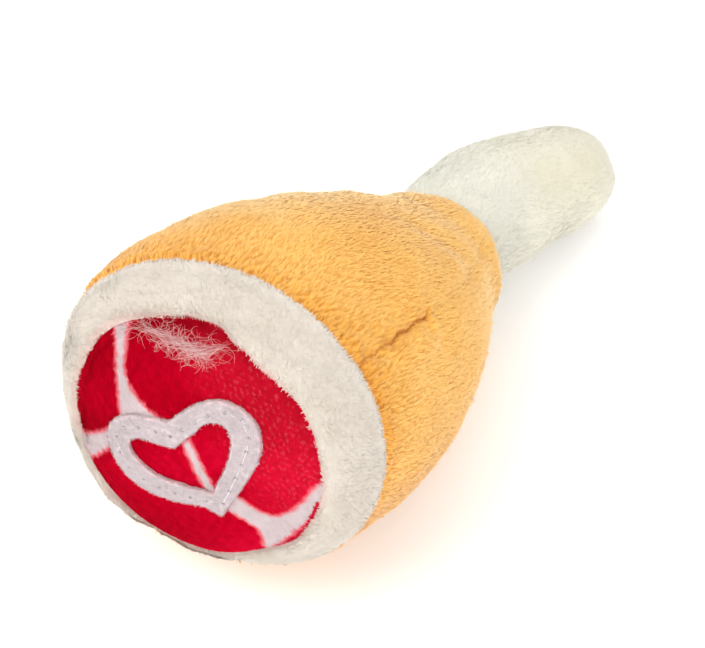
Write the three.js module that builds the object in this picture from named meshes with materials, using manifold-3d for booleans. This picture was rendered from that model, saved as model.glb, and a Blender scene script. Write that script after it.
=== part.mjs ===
// A plush ham leg for a dog to carry and chew. A golden ham is sewn from two panels and closed by
// a cut face of cream fat and red meat with a felt heart. A cream bone is sewn into its neck, and
// a squeaker sits in the filling. Millimetres, +Z up. The toy lies on its belly and on the tip of
// its bone, with the cut face towards -X.
import * as THREE from "three";
import { mergeVertices } from "three/addons/utils/BufferGeometryUtils.js";
import Module from "manifold-3d";

const wasm = await Module();
wasm.setup();

// Ham, in millimetres
const bodyLength = 108;
const bellyHalfWidth = 46.6;
const bellyHalfHeight = 42.7;
const neckRadius = 17.9;

// Cut face
const faceHalfWidth = 44.8;
const faceHalfHeight = 41.3;
const faceDome = 14;
const meatRadius = 32.5;
const meatSideOffset = 1.6;
const meatRise = -4.2;

// Bone
const boneLength = 70;
const boneBend = 20.8;
const boneDroop = 13.9;
const boneRadius = 19.1;
const boneEndRadius = 16.4;
const boneNotch = 3.2;
const boneKnobWidth = 6.5;

// Cloth, thread and the room between pieces that touch
const plushThickness = 3;
const feltThickness = 1.2;
const threadRadius = 0.35;
const neckThreadRadius = 0.25;
const seamDip = 1.5;
const seamFloor = 0.9;
const seamShoulder = 2.8;
const seamFade = 9;
const neckHem = 0.9;
const clearance = 0.3;
const clothGap = 0.4;
const restCut = 0.5;
const cutOverrun = 30;

// Stitches
const threadSpacing = 5;
const closingStitchSpacing = 2.5;
const closingStitchSway = 0.3;

// Felt heart, measured along its line of stitches
const heartHalfWidth = 19.2;
const heartRise = 9.2;
const heartNotch = 5.9;
const heartDrop = 15.5;
const heartBand = 7.2;

// Squeaker
const bulbRadius = 17;
const bulbHalfHeight = 11;
const bulbWall = 0.8;
const mouthRadius = 5.2;
const mouthHeight = 7;
const flangeThickness = 1;
const barrelLength = 9;
const barrelWall = 1.2;
const reedWidth = 3.2;
const reedThickness = 0.3;
const reedLength = 9;
const clipLength = 3;
const airChannelDepth = 1;
const airChannelWidth = 2.2;

// Angles in degrees: how the cut face and the neck lean, and how far round the seams lie
const faceTurnAngle = 8.6;
const faceTiltAngle = -3.7;
const neckTurnAngle = 6.1;
const neckTiltAngle = 11.1;
const seamAngle = 137.5;
const boneSeamAngle = 227.5;
const heartRoll = 37;
const neckSwing = 16;
const swingMargin = 2;
const rootOpening = 140;

// Tables of shares, chosen by hand
// Along the ham: station, share of the face's half sizes, share of the belly's half sizes
const bodyProfileShares = [
  [0, 1, 0], [0.12, 0.17, 0.83], [0.3, 0, 1], [0.5, 0, 0.868], [0.7, 0, 0.574], [0.87, 0, 0.253], [1, 0, 0],
];
const bodyStationShares = [0.07, 0.13, 0.21, 0.3, 0.4, 0.5, 0.6, 0.7, 0.79, 0.87, 0.94, 1];
// Along the bone: station, share of the shaft's radius, share of the end's radius
const boneProfileShares = [
  [0.14, 0.92, 0], [0.2, 0.97, 0], [0.3, 1, 0], [0.45, 0.75, 0.25], [0.6, 0.45, 0.55], [0.7, 0.25, 0.75], [1, 0, 1],
];
const boneStationShares = [0.14, 0.2, 0.3, 0.42, 0.56];
const boneCapStartShare = 0.7;
const boneCapShares = [0, 0.25, 0.45, 0.62, 0.76, 0.88, 0.96, 1];
const boneBendShare = 0.6;
const boneSpreadShare = 0.12;
const boneGrooveShare = 0.06;
const boneThreadStartShare = 0.3;
// Across the fat, from the meat to the cover: share of the way, share of the seam's dip
const fatShares = [[0, 1], [0.1, 1], [0.3, 0], [0.5, 0], [0.7, 0], [0.86, 0], [0.95, 0], [1, 1]];
const meatShares = [0, 0.4, 0.7, 0.9, 1];
const fillingDomeShares = [0, 0.45, 0.75, 0.92];
// Right half of the heart: shares of its half width, of its notch, of its rise and of its drop
const heartShares = [
  [0, 1, 0, 0], [0.3, 0.3, 0.7, 0], [0.6, 0, 1, 0], [0.88, 0, 0.82, 0], [1, 0, 0.3, 0],
  [0.9, 0, 0, 0.13], [0.7, 0, 0, 0.38], [0.37, 0, 0, 0.72], [0, 0, 0, 1],
];
const squeakerStationShare = 0.33;
const closingShares = [0.34, 0.74];

// Fullness of curves, as powers
const domePower = 0.68;
const capPower = 2.4;

// Counts of facets
const panelColumns = 10;
const boneColumns = 7;
const roundColumns = 36;
const seatRows = 12;
const rootRows = 5;
const threadSides = 5;
const heartSteps = 14;
const turnedColumns = 24;
const bulbRows = 7;
const arcSteps = 8;

const radians = THREE.MathUtils.degToRad;
const { lerp, clamp, smoothstep } = THREE.MathUtils;
const halfTurn = Math.PI;
const fullTurn = 2 * Math.PI;

// Points and frames
const moved = (point, ...steps) =>
  steps.reduce((sum, [direction, length]) => sum.addScaledVector(direction, length), point.clone());

const heading = (yaw, pitch) => new THREE.Vector3(
  Math.cos(radians(pitch)) * Math.cos(radians(yaw)),
  Math.cos(radians(pitch)) * Math.sin(radians(yaw)),
  Math.sin(radians(pitch)),
);

function frameOn(curve, station) {
  const ahead = curve.getTangent(station);
  const up = new THREE.Vector3(0, 0, 1);
  up.addScaledVector(ahead, -up.dot(ahead)).normalize();
  const side = new THREE.Vector3().crossVectors(up, ahead);
  return { centre: curve.getPoint(station), ahead, side, up };
}

const around = (frame, angle) => new THREE.Vector3()
  .addScaledVector(frame.side, Math.cos(angle))
  .addScaledVector(frame.up, Math.sin(angle));

const evenAngles = (count) => Array.from({ length: count }, (_, i) => fullTurn * i / count);

// A smooth curve through a table, and its other two values where the first one is the station
const smoothTable = (table) => new THREE.CatmullRomCurve3(table.map((row) => new THREE.Vector3(...row)));

function valuesAt(curve, station) {
  let low = 0;
  let high = 1;
  for (let step = 0; step < 24; step += 1) {
    const middle = (low + high) / 2;
    if (curve.getPoint(middle).x < station) low = middle;
    else high = middle;
  }
  const { y, z } = curve.getPoint(high);
  return [y, z];
}

// Faces over a grid of points: rows run along the piece, columns run round it
function patch(grid, wrap) {
  const corners = [];
  const columns = grid[0].length;
  for (let i = 0; i + 1 < grid.length; i += 1) {
    for (let j = 0; j < (wrap ? columns : columns - 1); j += 1) {
      const k = (j + 1) % columns;
      const [a, b, c, d] = [grid[i][j], grid[i][k], grid[i + 1][k], grid[i + 1][j]];
      corners.push(a, b, c, a, c, d);
    }
  }
  return corners;
}

// Merges corners that coincide, drops faces that close up, and turns the rest outwards
function closedBody(geometry) {
  const bare = geometry.clone();
  ["normal", "uv"].forEach((name) => bare.deleteAttribute(name));
  const merged = mergeVertices(bare);
  const place = merged.attributes.position;
  const corner = (index) => new THREE.Vector3().fromBufferAttribute(place, index);
  const faces = [];
  let volume = 0;
  for (let i = 0; i < merged.index.count; i += 3) {
    const face = [0, 1, 2].map((step) => merged.index.getX(i + step));
    if (new Set(face).size < 3) continue;
    const [a, b, c] = face.map(corner);
    volume += a.dot(b.cross(c));
    faces.push(face);
  }
  merged.setIndex(faces.flatMap((face) => (volume < 0 ? [...face].reverse() : face)));
  return merged;
}

const bodyFrom = (corners) => closedBody(new THREE.BufferGeometry().setFromPoints(corners));

// A cloth shell between an outer and an inner surface
function shell(outer, inner, wrap) {
  const last = outer.length - 1;
  const end = outer[0].length - 1;
  const column = (grid, j) => grid.map((row) => row[j]);
  const sides = wrap ? [] : [
    ...patch([column(outer, 0), column(inner, 0)], false),
    ...patch([column(inner, end), column(outer, end)], false),
  ];
  return bodyFrom([
    ...patch(outer, wrap),
    ...patch(inner, wrap).reverse(),
    ...patch([inner[0], outer[0]], wrap),
    ...patch([outer[last], inner[last]], wrap),
    ...sides,
  ]);
}

// A solid through rings of points, closed at both ends or joined into a loop
function loft(rings, loop = false) {
  const gathered = (ring) => {
    const centre = ring.reduce((sum, point) => sum.add(point), new THREE.Vector3()).divideScalar(ring.length);
    return ring.map(() => centre);
  };
  const rows = loop ? [...rings, rings[0]] : [gathered(rings[0]), ...rings, gathered(rings[rings.length - 1])];
  return bodyFrom(patch(rows, true));
}

// A thread along places that each hold a point and the direction away from the cloth
function threadAlong(places, radius, loop = false) {
  const count = places.length;
  const rings = places.map(({ point, out }, i) => {
    const before = places[loop ? (i + count - 1) % count : Math.max(i - 1, 0)].point;
    const after = places[loop ? (i + 1) % count : Math.min(i + 1, count - 1)].point;
    const ahead = after.clone().sub(before).normalize();
    const lift = moved(out, [ahead, -out.dot(ahead)]).normalize();
    const across = new THREE.Vector3().crossVectors(ahead, lift);
    return evenAngles(threadSides).map((angle) =>
      moved(point, [lift, radius * Math.cos(angle)], [across, radius * Math.sin(angle)]));
  });
  return loft(rings, loop);
}

// Cuts
function solidOf(geometry) {
  const closed = closedBody(geometry);
  return new wasm.Manifold(new wasm.Mesh({
    numProp: 3,
    vertProperties: new Float32Array(closed.attributes.position.array),
    triVerts: new Uint32Array(closed.index.array),
  }));
}

function geometryOf(solid) {
  const { vertProperties, triVerts } = solid.getMesh();
  const geometry = new THREE.BufferGeometry();
  geometry.setAttribute("position", new THREE.BufferAttribute(vertProperties, 3));
  geometry.setIndex(new THREE.BufferAttribute(triVerts, 1));
  return geometry;
}

const cutAway = (geometry, ...cutters) =>
  geometryOf(cutters.reduce((left, cutter) => left.subtract(solidOf(cutter)), solidOf(geometry)));

const keepInside = (geometry, region) => geometryOf(solidOf(geometry).intersect(solidOf(region)));

// The centre lines of the ham and of the bone
const faceCentre = new THREE.Vector3(0, 0, 0);
const neckCentre = new THREE.Vector3(bodyLength, 0, 0);
const bodyCurve = new THREE.CubicBezierCurve3(
  faceCentre,
  moved(faceCentre, [heading(faceTurnAngle, faceTiltAngle), bodyLength / 3]),
  moved(neckCentre, [heading(neckTurnAngle, neckTiltAngle), -bodyLength / 3]),
  neckCentre,
);
const faceFrame = frameOn(bodyCurve, 0);
const neckFrame = frameOn(bodyCurve, 1);
const boneCurve = new THREE.CubicBezierCurve3(
  neckCentre,
  moved(neckCentre, [neckFrame.ahead, boneLength / 3]),
  moved(
    neckCentre,
    [neckFrame.ahead, 2 * boneLength / 3],
    [neckFrame.side, -boneBend * boneBendShare],
    [neckFrame.up, -boneDroop * boneBendShare],
  ),
  moved(neckCentre, [neckFrame.ahead, boneLength], [neckFrame.side, -boneBend], [neckFrame.up, -boneDroop]),
);

// A seam pulls the cloth in: by all of its dip on its floor, and not at all past its shoulder
const seamInset = (distance) =>
  seamDip * (1 - clamp((distance - seamFloor) / (seamShoulder - seamFloor), 0, 1));

// The angles of half a tube from seam to seam, with columns on each seam's floor and shoulder
function halfAngles(radius, columns) {
  const shoulder = Math.min(seamShoulder / radius, halfTurn / (2 * columns));
  const floor = shoulder * seamFloor / seamShoulder;
  const between = Array.from({ length: columns + 1 }, (_, i) => lerp(shoulder, halfTurn - shoulder, i / columns));
  return [0, floor, ...between, halfTurn - floor, halfTurn];
}

const wholeAngles = (radius, columns) => {
  const half = halfAngles(radius, columns).slice(0, -1);
  return [...half, ...half.map((angle) => angle + halfTurn)];
};

const seamDistance = (angle, radius) => Math.min(angle, halfTurn - angle) * radius;

// Golden cover: two panels sewn together along both sides
const bodyProfile = smoothTable(bodyProfileShares);
const seamStart = radians(seamAngle);

function bodyRadii(station) {
  const [face, belly] = valuesAt(bodyProfile, station);
  const neck = 1 - face - belly;
  const wide = face * faceHalfWidth + belly * bellyHalfWidth + neck * neckRadius;
  const high = face * faceHalfHeight + belly * bellyHalfHeight + neck * neckRadius;
  return { wide, high, mean: (wide + high) / 2 };
}

function bodyPoint(station, angle, inset) {
  const frame = frameOn(bodyCurve, station);
  const { wide, high } = bodyRadii(station);
  return moved(
    frame.centre,
    [frame.side, (wide - inset) * Math.cos(angle)],
    [frame.up, (high - inset) * Math.sin(angle)],
  );
}

const frontShares = [clothGap / 2, seamFloor, seamShoulder].map((distance) => distance / bodyLength);
const bodyStations = [...frontShares, ...bodyStationShares];
const sideSeamDip = (station) => clamp((1 - station) * bodyLength / seamFade, 0, 1);

function bodyPanel(startAngle) {
  const rows = (depth) => bodyStations.map((station) => {
    const { mean } = bodyRadii(station);
    const away = around(frameOn(bodyCurve, station), startAngle + halfTurn / 2);
    return halfAngles(mean, panelColumns).map((angle) => {
      const pulled = sideSeamDip(station) * seamInset(seamDistance(angle, mean));
      const inset = Math.max(pulled, seamInset(station * bodyLength));
      return moved(bodyPoint(station, startAngle + angle, depth || inset), [away, clothGap / 2]);
    });
  });
  return { outer: rows(0), inner: rows(plushThickness) };
}

// Cut face: a dome over the ham's open end, sewn to the cover in the plane of the face seam
function facePoint(side, rise, inset) {
  const spread = (side / (faceHalfWidth - inset)) ** 2 + (rise / (faceHalfHeight - inset)) ** 2;
  const height = (faceDome - inset) * Math.max(1 - spread, 0) ** domePower;
  return moved(faceCentre, [faceFrame.ahead, -height], [faceFrame.side, side], [faceFrame.up, rise]);
}

const clothPoint = ([side, rise], inset) => moved(facePoint(side, rise, inset), [faceFrame.ahead, -clothGap / 2]);

const meatPlace = (angle, radius) => [
  meatSideOffset + radius * Math.cos(angle),
  meatRise + radius * Math.sin(angle),
];

const rimPlace = (angle, inset) => [
  (faceHalfWidth - inset) * Math.cos(angle),
  (faceHalfHeight - inset) * Math.sin(angle),
];

// Fat: the cream plush ring between the meat and the golden cover
function fatRing() {
  const rows = (depth) => fatShares.map(([share, dipShare]) => evenAngles(roundColumns).map((angle) => {
    const inset = depth || dipShare * seamDip;
    const from = meatPlace(angle, meatRadius + clothGap / 2);
    const to = rimPlace(angle, depth || (share === 1 ? seamDip : 0));
    return clothPoint([lerp(from[0], to[0], share), lerp(from[1], to[1], share)], inset);
  }));
  return shell(rows(0), rows(plushThickness), true);
}

// Meat: the red disc, with its edge pulled in by the seam
function meatPanel() {
  const radii = [
    ...meatShares.map((share) => share * (meatRadius - seamShoulder)),
    meatRadius - seamFloor,
    meatRadius - clothGap / 2,
  ];
  const rows = (depth) => radii.map((radius) => evenAngles(roundColumns).map((angle) =>
    clothPoint(meatPlace(angle, radius), depth || seamInset(meatRadius - radius))));
  return shell(rows(0), rows(plushThickness), true);
}

// Felt heart: an open band, stitched to the meat along its middle
function heartPlaces(offset) {
  const line = new THREE.CatmullRomCurve3(heartShares.map(([side, notch, rise, drop]) => new THREE.Vector3(
    side * (heartHalfWidth + offset),
    notch * (heartNotch + offset) + rise * (heartRise + offset) - drop * (heartDrop + offset),
    0,
  )));
  const half = line.getPoints(heartSteps);
  const mirrored = half.slice(1, -1).reverse().map(({ x, y }) => new THREE.Vector3(-x, y, 0));
  const [along, across] = [Math.cos(radians(heartRoll)), Math.sin(radians(heartRoll))];
  return [...half, ...mirrored].map(({ x, y }) => [
    meatSideOffset - x * along + y * across,
    meatRise + x * across + y * along,
  ]);
}

function feltHeart() {
  const outer = heartPlaces(heartBand / 2);
  const inner = heartPlaces(-heartBand / 2);
  const [under, top] = [-clothGap, -clothGap - feltThickness];
  const rings = outer.map((place, i) => [
    clothPoint(place, under),
    clothPoint(place, top),
    clothPoint(inner[i], top),
    clothPoint(inner[i], under),
  ]);
  return loft(rings, true);
}

const awayFromFace = faceFrame.ahead.clone().negate();

function heartStitching() {
  const lift = clothGap + feltThickness + clearance + threadRadius;
  const places = heartPlaces(0).map((place) => ({ point: clothPoint(place, -lift), out: awayFromFace }));
  return threadAlong(places, threadRadius, true);
}

// Threads lie in the valleys of the seams, just clear of their floors
const threadDepth = seamDip - clothGap - threadRadius;

function faceSeamThread() {
  const places = evenAngles(roundColumns).map((angle) => ({
    point: facePoint(...rimPlace(angle, threadDepth), threadDepth),
    out: around(faceFrame, angle),
  }));
  return threadAlong(places, threadRadius, true);
}

function meatSeamThread() {
  const places = evenAngles(roundColumns).map((angle) => ({
    point: clothPoint(meatPlace(angle, meatRadius), threadDepth),
    out: awayFromFace,
  }));
  return threadAlong(places, threadRadius, true);
}

const threadStartShare = (3 * threadRadius + clearance) / bodyLength;
const threadEndShare = 1 - seamFade / bodyLength;
const stitchGapShare = clothGap / bodyLength;

function sideSeamThread(angle, from, to, spacing = threadSpacing, sway = 0) {
  const steps = Math.ceil((to - from) * bodyLength / spacing);
  const places = Array.from({ length: steps + 1 }, (_, i) => {
    const station = lerp(from, to, i / steps);
    const frame = frameOn(bodyCurve, station);
    const aside = around(frame, angle + halfTurn / 2);
    const point = moved(bodyPoint(station, angle, threadDepth), [aside, i % 2 ? sway : -sway]);
    return { point, out: around(frame, angle) };
  });
  return threadAlong(places, threadRadius);
}

// Neck: the bone's round root turns in a round seat, with the neck thread between them
const seatRadius = neckRadius - neckHem;
const neckThreadPath = seatRadius - clearance - neckThreadRadius;
const rootRadius = neckThreadPath - neckThreadRadius - clearance;
const lipRadius = seatRadius - clearance;
const rootEdge = radians(90 - neckSwing - swingMargin);
const lipEdge = halfTurn / 2 - Math.acos(Math.cos(radians(neckSwing)) ** 2) - radians(swingMargin);

function neckSeat() {
  const ball = new THREE.SphereGeometry(seatRadius, roundColumns, seatRows);
  const turn = new THREE.Quaternion().setFromUnitVectors(new THREE.Vector3(0, 1, 0), neckFrame.ahead);
  return ball.applyQuaternion(turn).translate(...neckCentre.toArray());
}

function neckSeamThread() {
  const places = evenAngles(roundColumns).map((angle) => ({
    point: moved(neckCentre, [around(neckFrame, angle), neckThreadPath]),
    out: around(neckFrame, angle),
  }));
  return threadAlong(places, neckThreadRadius, true);
}

// Bone: two panels sewn along its edges and round its end, which swells into two knobs
const boneProfile = smoothTable(boneProfileShares);
const boneSeamStart = radians(boneSeamAngle);

const ballRow = (edge, radius) => (inset) => ({
  ...neckFrame,
  centre: moved(neckCentre, [neckFrame.ahead, (radius - inset) * Math.cos(edge)]),
  radius: (radius - inset) * Math.sin(edge),
  seam: 0,
  spread: 0,
  notch: 0,
});

function shaftRow(station, cap = 0) {
  return (inset) => {
    const place = station + cap * (1 - station - inset / boneLength);
    const [shaft, end] = valuesAt(boneProfile, place);
    const closing = Math.sqrt(1 - cap ** capPower);
    return {
      ...frameOn(boneCurve, place),
      radius: (shaft * boneRadius + end * boneEndRadius - inset) * closing,
      seam: station < boneThreadStartShare ? 0 : 1,
      spread: smoothstep(place, boneStationShares[1], boneCapStartShare),
      notch: boneNotch * cap ** capPower,
    };
  };
}

const rootRowsOn = (inset) => Array.from({ length: rootRows + 1 }, (_, i) =>
  ballRow(lerp(radians(rootOpening), rootEdge, i / rootRows), rootRadius)(inset));

const boneRows = (inset) => [
  ...rootRowsOn(inset),
  ballRow(lipEdge, lipRadius)(inset),
  ...boneStationShares.map((station) => shaftRow(station)(inset)),
  ...boneCapShares.map((cap) => shaftRow(boneCapStartShare, cap)(inset)),
];

function bonePoint(row, angle, depth = 0) {
  const swell = row.spread * (boneSpreadShare * Math.cos(angle) ** 2 - boneGrooveShare * Math.sin(angle) ** 6);
  const reach = row.radius * (1 + swell) - depth;
  const aside = reach * Math.cos(angle) / boneKnobWidth;
  return moved(
    row.centre,
    [around(row, boneSeamStart + angle), reach],
    [row.ahead, -row.notch * Math.exp(-aside * aside)],
  );
}

function bonePanel(startAngle) {
  const pulledIn = boneRows(seamDip);
  const away = (row) => around(row, boneSeamStart + startAngle + halfTurn / 2);
  const surface = (rows) => rows.map((row, i) => halfAngles(row.radius || 1, boneColumns).map((angle) => {
    const share = row.seam * seamInset(seamDistance(angle, row.radius)) / seamDip;
    const plain = bonePoint(row, startAngle + angle);
    const point = rows === outerRows ? plain.lerp(bonePoint(pulledIn[i], startAngle + angle), share) : plain;
    return moved(point, [away(row), clothGap / 2]);
  }));
  const outerRows = boneRows(0);
  return { outer: surface(outerRows), inner: surface(boneRows(plushThickness)) };
}

function boneSeamThread() {
  const rows = boneRows(threadDepth).filter(({ seam }) => seam);
  const heart = boneCurve.getPoint(boneCapStartShare);
  const place = (angle) => (row) => {
    const point = bonePoint(row, angle);
    return { point, out: point.clone().sub(heart).normalize() };
  };
  return threadAlong([...rows.map(place(0)), ...rows.slice(0, -1).reverse().map(place(halfTurn))], threadRadius);
}

// Filling, just clear of the covers
const fillingInset = plushThickness + clothGap;

function boneFilling() {
  return loft(boneRows(fillingInset).map((row) =>
    wholeAngles(row.radius || 1, boneColumns).map((angle) => bonePoint(row, angle))));
}

function bodyFilling() {
  const { mean } = bodyRadii(0);
  const dome = fillingDomeShares.map((share) => wholeAngles(mean, panelColumns).map((angle) => {
    const [side, rise] = rimPlace(seamStart + angle, fillingInset);
    return facePoint(side * share, rise * share, fillingInset);
  }));
  const tube = bodyStations.slice(0, -1).map((station) =>
    wholeAngles(bodyRadii(station).mean, panelColumns).map((angle) =>
      bodyPoint(station, seamStart + angle, fillingInset)));
  return loft([...dome, ...tube]);
}

// How the toy lies: pitched until its belly and the tip of its bone both touch the floor
const [topPanel, bottomPanel] = [bodyPanel(seamStart + halfTurn), bodyPanel(seamStart)];
const [boneTop, boneBottom] = [bonePanel(halfTurn), bonePanel(0)];

const lowestAt = (points, pitch) =>
  Math.min(...points.map(({ x, z }) => z * Math.cos(pitch) - x * Math.sin(pitch)));

function restingPitch(ham, bone) {
  let low = 0;
  let high = halfTurn / 4;
  for (let step = 0; step < 40; step += 1) {
    const middle = (low + high) / 2;
    if (lowestAt(bone, middle) > lowestAt(ham, middle)) low = middle;
    else high = middle;
  }
  return high;
}

const pitch = restingPitch(bottomPanel.outer.flat(), [...boneBottom.outer, ...boneTop.outer].flat());
const floor = lowestAt(bottomPanel.outer.flat(), pitch) + restCut;
const blockSize = 2 * (bodyLength + boneLength + cutOverrun);
const floorBlock = new THREE.BoxGeometry(blockSize, blockSize, cutOverrun)
  .translate(0, 0, floor - cutOverrun / 2)
  .rotateY(-pitch);

const cover = ({ outer, inner }, ...cutters) => cutAway(shell(outer, inner, false), floorBlock, ...cutters);

// Squeaker: a blown bulb, upright in the filling, with a reed unit pushed into its mouth
const mouthTop = bulbHalfHeight + mouthHeight;
const unitBase = mouthTop + clearance;
const unitTop = unitBase + flangeThickness;
const barrelRadius = mouthRadius - bulbWall - clearance;
const boreRadius = barrelRadius - barrelWall;
const wedgeRadius = boreRadius - clearance;
const reedFace = reedThickness / 2 + clearance;

// The bulb's side from its base to its neck, at a distance from its outer surface
function bulbSide(inset) {
  const [wide, high, neck] = [bulbRadius - inset, bulbHalfHeight - inset, mouthRadius - inset];
  const last = halfTurn - Math.asin(neck / wide);
  const side = Array.from({ length: bulbRows + 1 }, (_, i) => {
    const angle = last * i / bulbRows;
    return new THREE.Vector2(wide * Math.sin(angle), -high * Math.cos(angle));
  });
  return [...side, new THREE.Vector2(neck, mouthTop)];
}

// A profile turned about the squeaker's axis, which is upright
const turned = (profile) => new THREE.LatheGeometry(profile, turnedColumns).rotateX(halfTurn / 2);

const squeakerBulb = () => turned([...bulbSide(0), ...bulbSide(bulbWall).reverse()]);

const reedHousing = () => turned([
  new THREE.Vector2(boreRadius, unitBase - barrelLength),
  new THREE.Vector2(barrelRadius, unitBase - barrelLength),
  new THREE.Vector2(barrelRadius, unitBase),
  new THREE.Vector2(mouthRadius, unitBase),
  new THREE.Vector2(mouthRadius, unitTop),
  new THREE.Vector2(boreRadius, unitTop),
  new THREE.Vector2(boreRadius, unitBase - barrelLength),
]);

const extruded = (shape, depth, base) =>
  new THREE.ExtrudeGeometry(shape, { depth, bevelEnabled: false, curveSegments: arcSteps }).translate(0, 0, base);

function reedWedge() {
  const edge = Math.acos(-reedFace / wedgeRadius);
  const shape = new THREE.Shape();
  shape.absarc(0, 0, wedgeRadius, edge, fullTurn - edge, false);
  shape.lineTo(-reedFace, -airChannelWidth / 2);
  shape.lineTo(-reedFace - airChannelDepth, -airChannelWidth / 2);
  shape.lineTo(-reedFace - airChannelDepth, airChannelWidth / 2);
  shape.lineTo(-reedFace, airChannelWidth / 2);
  const length = barrelLength + flangeThickness;
  return extruded(shape, length, unitTop - length);
}

function reedClip() {
  const edge = Math.acos(reedFace / wedgeRadius);
  const shape = new THREE.Shape();
  shape.absarc(0, 0, wedgeRadius, -edge, edge, false);
  return extruded(shape, clipLength, unitTop - clipLength);
}

const reedStrip = () =>
  new THREE.BoxGeometry(reedThickness, reedWidth, reedLength).translate(0, 0, unitTop - reedLength / 2);

function squeakerPocket() {
  const neck = mouthRadius + clothGap;
  const side = bulbSide(-clothGap).slice(0, -1);
  return turned([...side, new THREE.Vector2(neck, unitTop + clothGap), new THREE.Vector2(0, unitTop + clothGap)]);
}

const squeaker = new THREE.Group();
squeaker.position.copy(bodyCurve.getPoint(squeakerStationShare));
squeaker.rotation.y = -pitch;
squeaker.updateMatrix();

function fillingHalf(direction) {
  const block = new THREE.BoxGeometry(blockSize, blockSize, blockSize)
    .translate(0, 0, direction * (blockSize + clothGap) / 2)
    .applyMatrix4(squeaker.matrix);
  const pocket = squeakerPocket().applyMatrix4(squeaker.matrix);
  return cutAway(keepInside(bodyFilling(), block), pocket, neckSeat());
}

// Finishes
const finish = (color, roughness) => new THREE.MeshStandardMaterial({ color, roughness, metalness: 0 });
const goldenPlush = finish(0xf0b870, 0.95);
const creamPlush = finish(0xeae4d6, 0.95);
const bonePlush = finish(0xebe6d4, 0.95);
const redPlush = finish(0xc2182f, 0.9);
const whiteFelt = finish(0xe0dbde, 0.98);
const goldenThread = finish(0xc98f45, 0.7);
const paleThread = finish(0xe6dfcf, 0.7);
const polyesterFill = finish(0xf5f5f2, 1);
const bulbPlastic = finish(0xf2f2ee, 0.45);
const reedPlastic = finish(0xdfe6ea, 0.35);

function add(parent, name, geometry, material) {
  const mesh = new THREE.Mesh(geometry, material);
  mesh.name = name;
  parent.add(mesh);
}

const toy = new THREE.Group();
toy.rotation.y = pitch;
const farSeam = seamStart + halfTurn;
const [closingStart, closingEnd] = closingShares;

add(toy, "body_panel_top", cover(topPanel, neckSeat()), goldenPlush);
add(toy, "body_panel_bottom", cover(bottomPanel, neckSeat()), goldenPlush);
add(toy, "fat_ring", cutAway(fatRing(), floorBlock), creamPlush);
add(toy, "meat_panel", meatPanel(), redPlush);
add(toy, "felt_heart", feltHeart(), whiteFelt);
add(toy, "heart_stitching", heartStitching(), paleThread);
add(toy, "meat_seam_thread", meatSeamThread(), paleThread);
add(toy, "face_seam_thread", faceSeamThread(), goldenThread);
add(toy, "side_thread_near", sideSeamThread(seamStart, threadStartShare, threadEndShare), goldenThread);
add(toy, "side_thread_far_front", sideSeamThread(farSeam, threadStartShare, closingStart - stitchGapShare), goldenThread);
add(
  toy,
  "closing_stitch",
  sideSeamThread(farSeam, closingStart, closingEnd, closingStitchSpacing, closingStitchSway),
  paleThread,
);
add(toy, "side_thread_far_rear", sideSeamThread(farSeam, closingEnd + stitchGapShare, threadEndShare), goldenThread);
add(toy, "neck_seam_thread", neckSeamThread(), paleThread);
add(toy, "bone_panel_top", cover(boneTop), bonePlush);
add(toy, "bone_panel_bottom", cover(boneBottom), bonePlush);
add(toy, "bone_seam_thread", boneSeamThread(), paleThread);
add(toy, "bone_filling", boneFilling(), polyesterFill);
add(toy, "body_filling_upper", fillingHalf(1), polyesterFill);
add(toy, "body_filling_lower", fillingHalf(-1), polyesterFill);
add(squeaker, "squeaker_bulb", squeakerBulb(), bulbPlastic);
add(squeaker, "reed_housing", reedHousing(), reedPlastic);
add(squeaker, "reed_wedge", reedWedge(), reedPlastic);
add(squeaker, "reed_clip", reedClip(), reedPlastic);
add(squeaker, "reed", reedStrip(), reedPlastic);
toy.add(squeaker);

// The origin lies on the floor, below the middle of the toy
const box = new THREE.Box3().setFromObject(toy, true);
const middle = box.getCenter(new THREE.Vector3());
toy.position.set(-middle.x, -middle.y, -box.min.z);

const plushHam = new THREE.Group();
plushHam.add(toy);

export default plushHam;
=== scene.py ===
import math

import bpy
import numpy as np
from mathutils import Matrix, Vector


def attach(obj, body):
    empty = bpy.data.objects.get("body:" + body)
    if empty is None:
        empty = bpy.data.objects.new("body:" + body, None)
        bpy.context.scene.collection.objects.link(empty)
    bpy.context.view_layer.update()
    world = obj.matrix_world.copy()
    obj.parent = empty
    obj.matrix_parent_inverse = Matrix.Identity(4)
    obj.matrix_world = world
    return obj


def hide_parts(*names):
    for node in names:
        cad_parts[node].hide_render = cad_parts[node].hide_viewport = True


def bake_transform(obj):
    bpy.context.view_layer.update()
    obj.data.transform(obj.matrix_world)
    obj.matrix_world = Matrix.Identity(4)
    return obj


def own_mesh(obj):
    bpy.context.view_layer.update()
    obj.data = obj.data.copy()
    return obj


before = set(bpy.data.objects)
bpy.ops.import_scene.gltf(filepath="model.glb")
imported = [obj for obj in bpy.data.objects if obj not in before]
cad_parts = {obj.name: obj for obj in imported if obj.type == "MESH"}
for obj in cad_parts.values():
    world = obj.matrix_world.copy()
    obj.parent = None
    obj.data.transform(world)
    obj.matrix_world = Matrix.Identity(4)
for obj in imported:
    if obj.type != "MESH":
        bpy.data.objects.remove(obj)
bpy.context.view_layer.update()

# How the toy lies
# The frame is the CAD part, with its floor at zero. Places on the toy are given in millimetres
# along the ham itself: x from the cut face to the neck, y to the left and z up. The ham lies
# pitched on its belly and on the tip of its bone, and set_down puts such a place in the frame.
lying_pitch = math.radians(13.0437)
cut_face_centre = np.array([-78.156, -1.72, 52.962])
lying_turn = np.array([
    [math.cos(lying_pitch), 0, math.sin(lying_pitch)],
    [0, 1, 0],
    [-math.sin(lying_pitch), 0, math.cos(lying_pitch)],
])
floor_gap = 0.05


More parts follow.
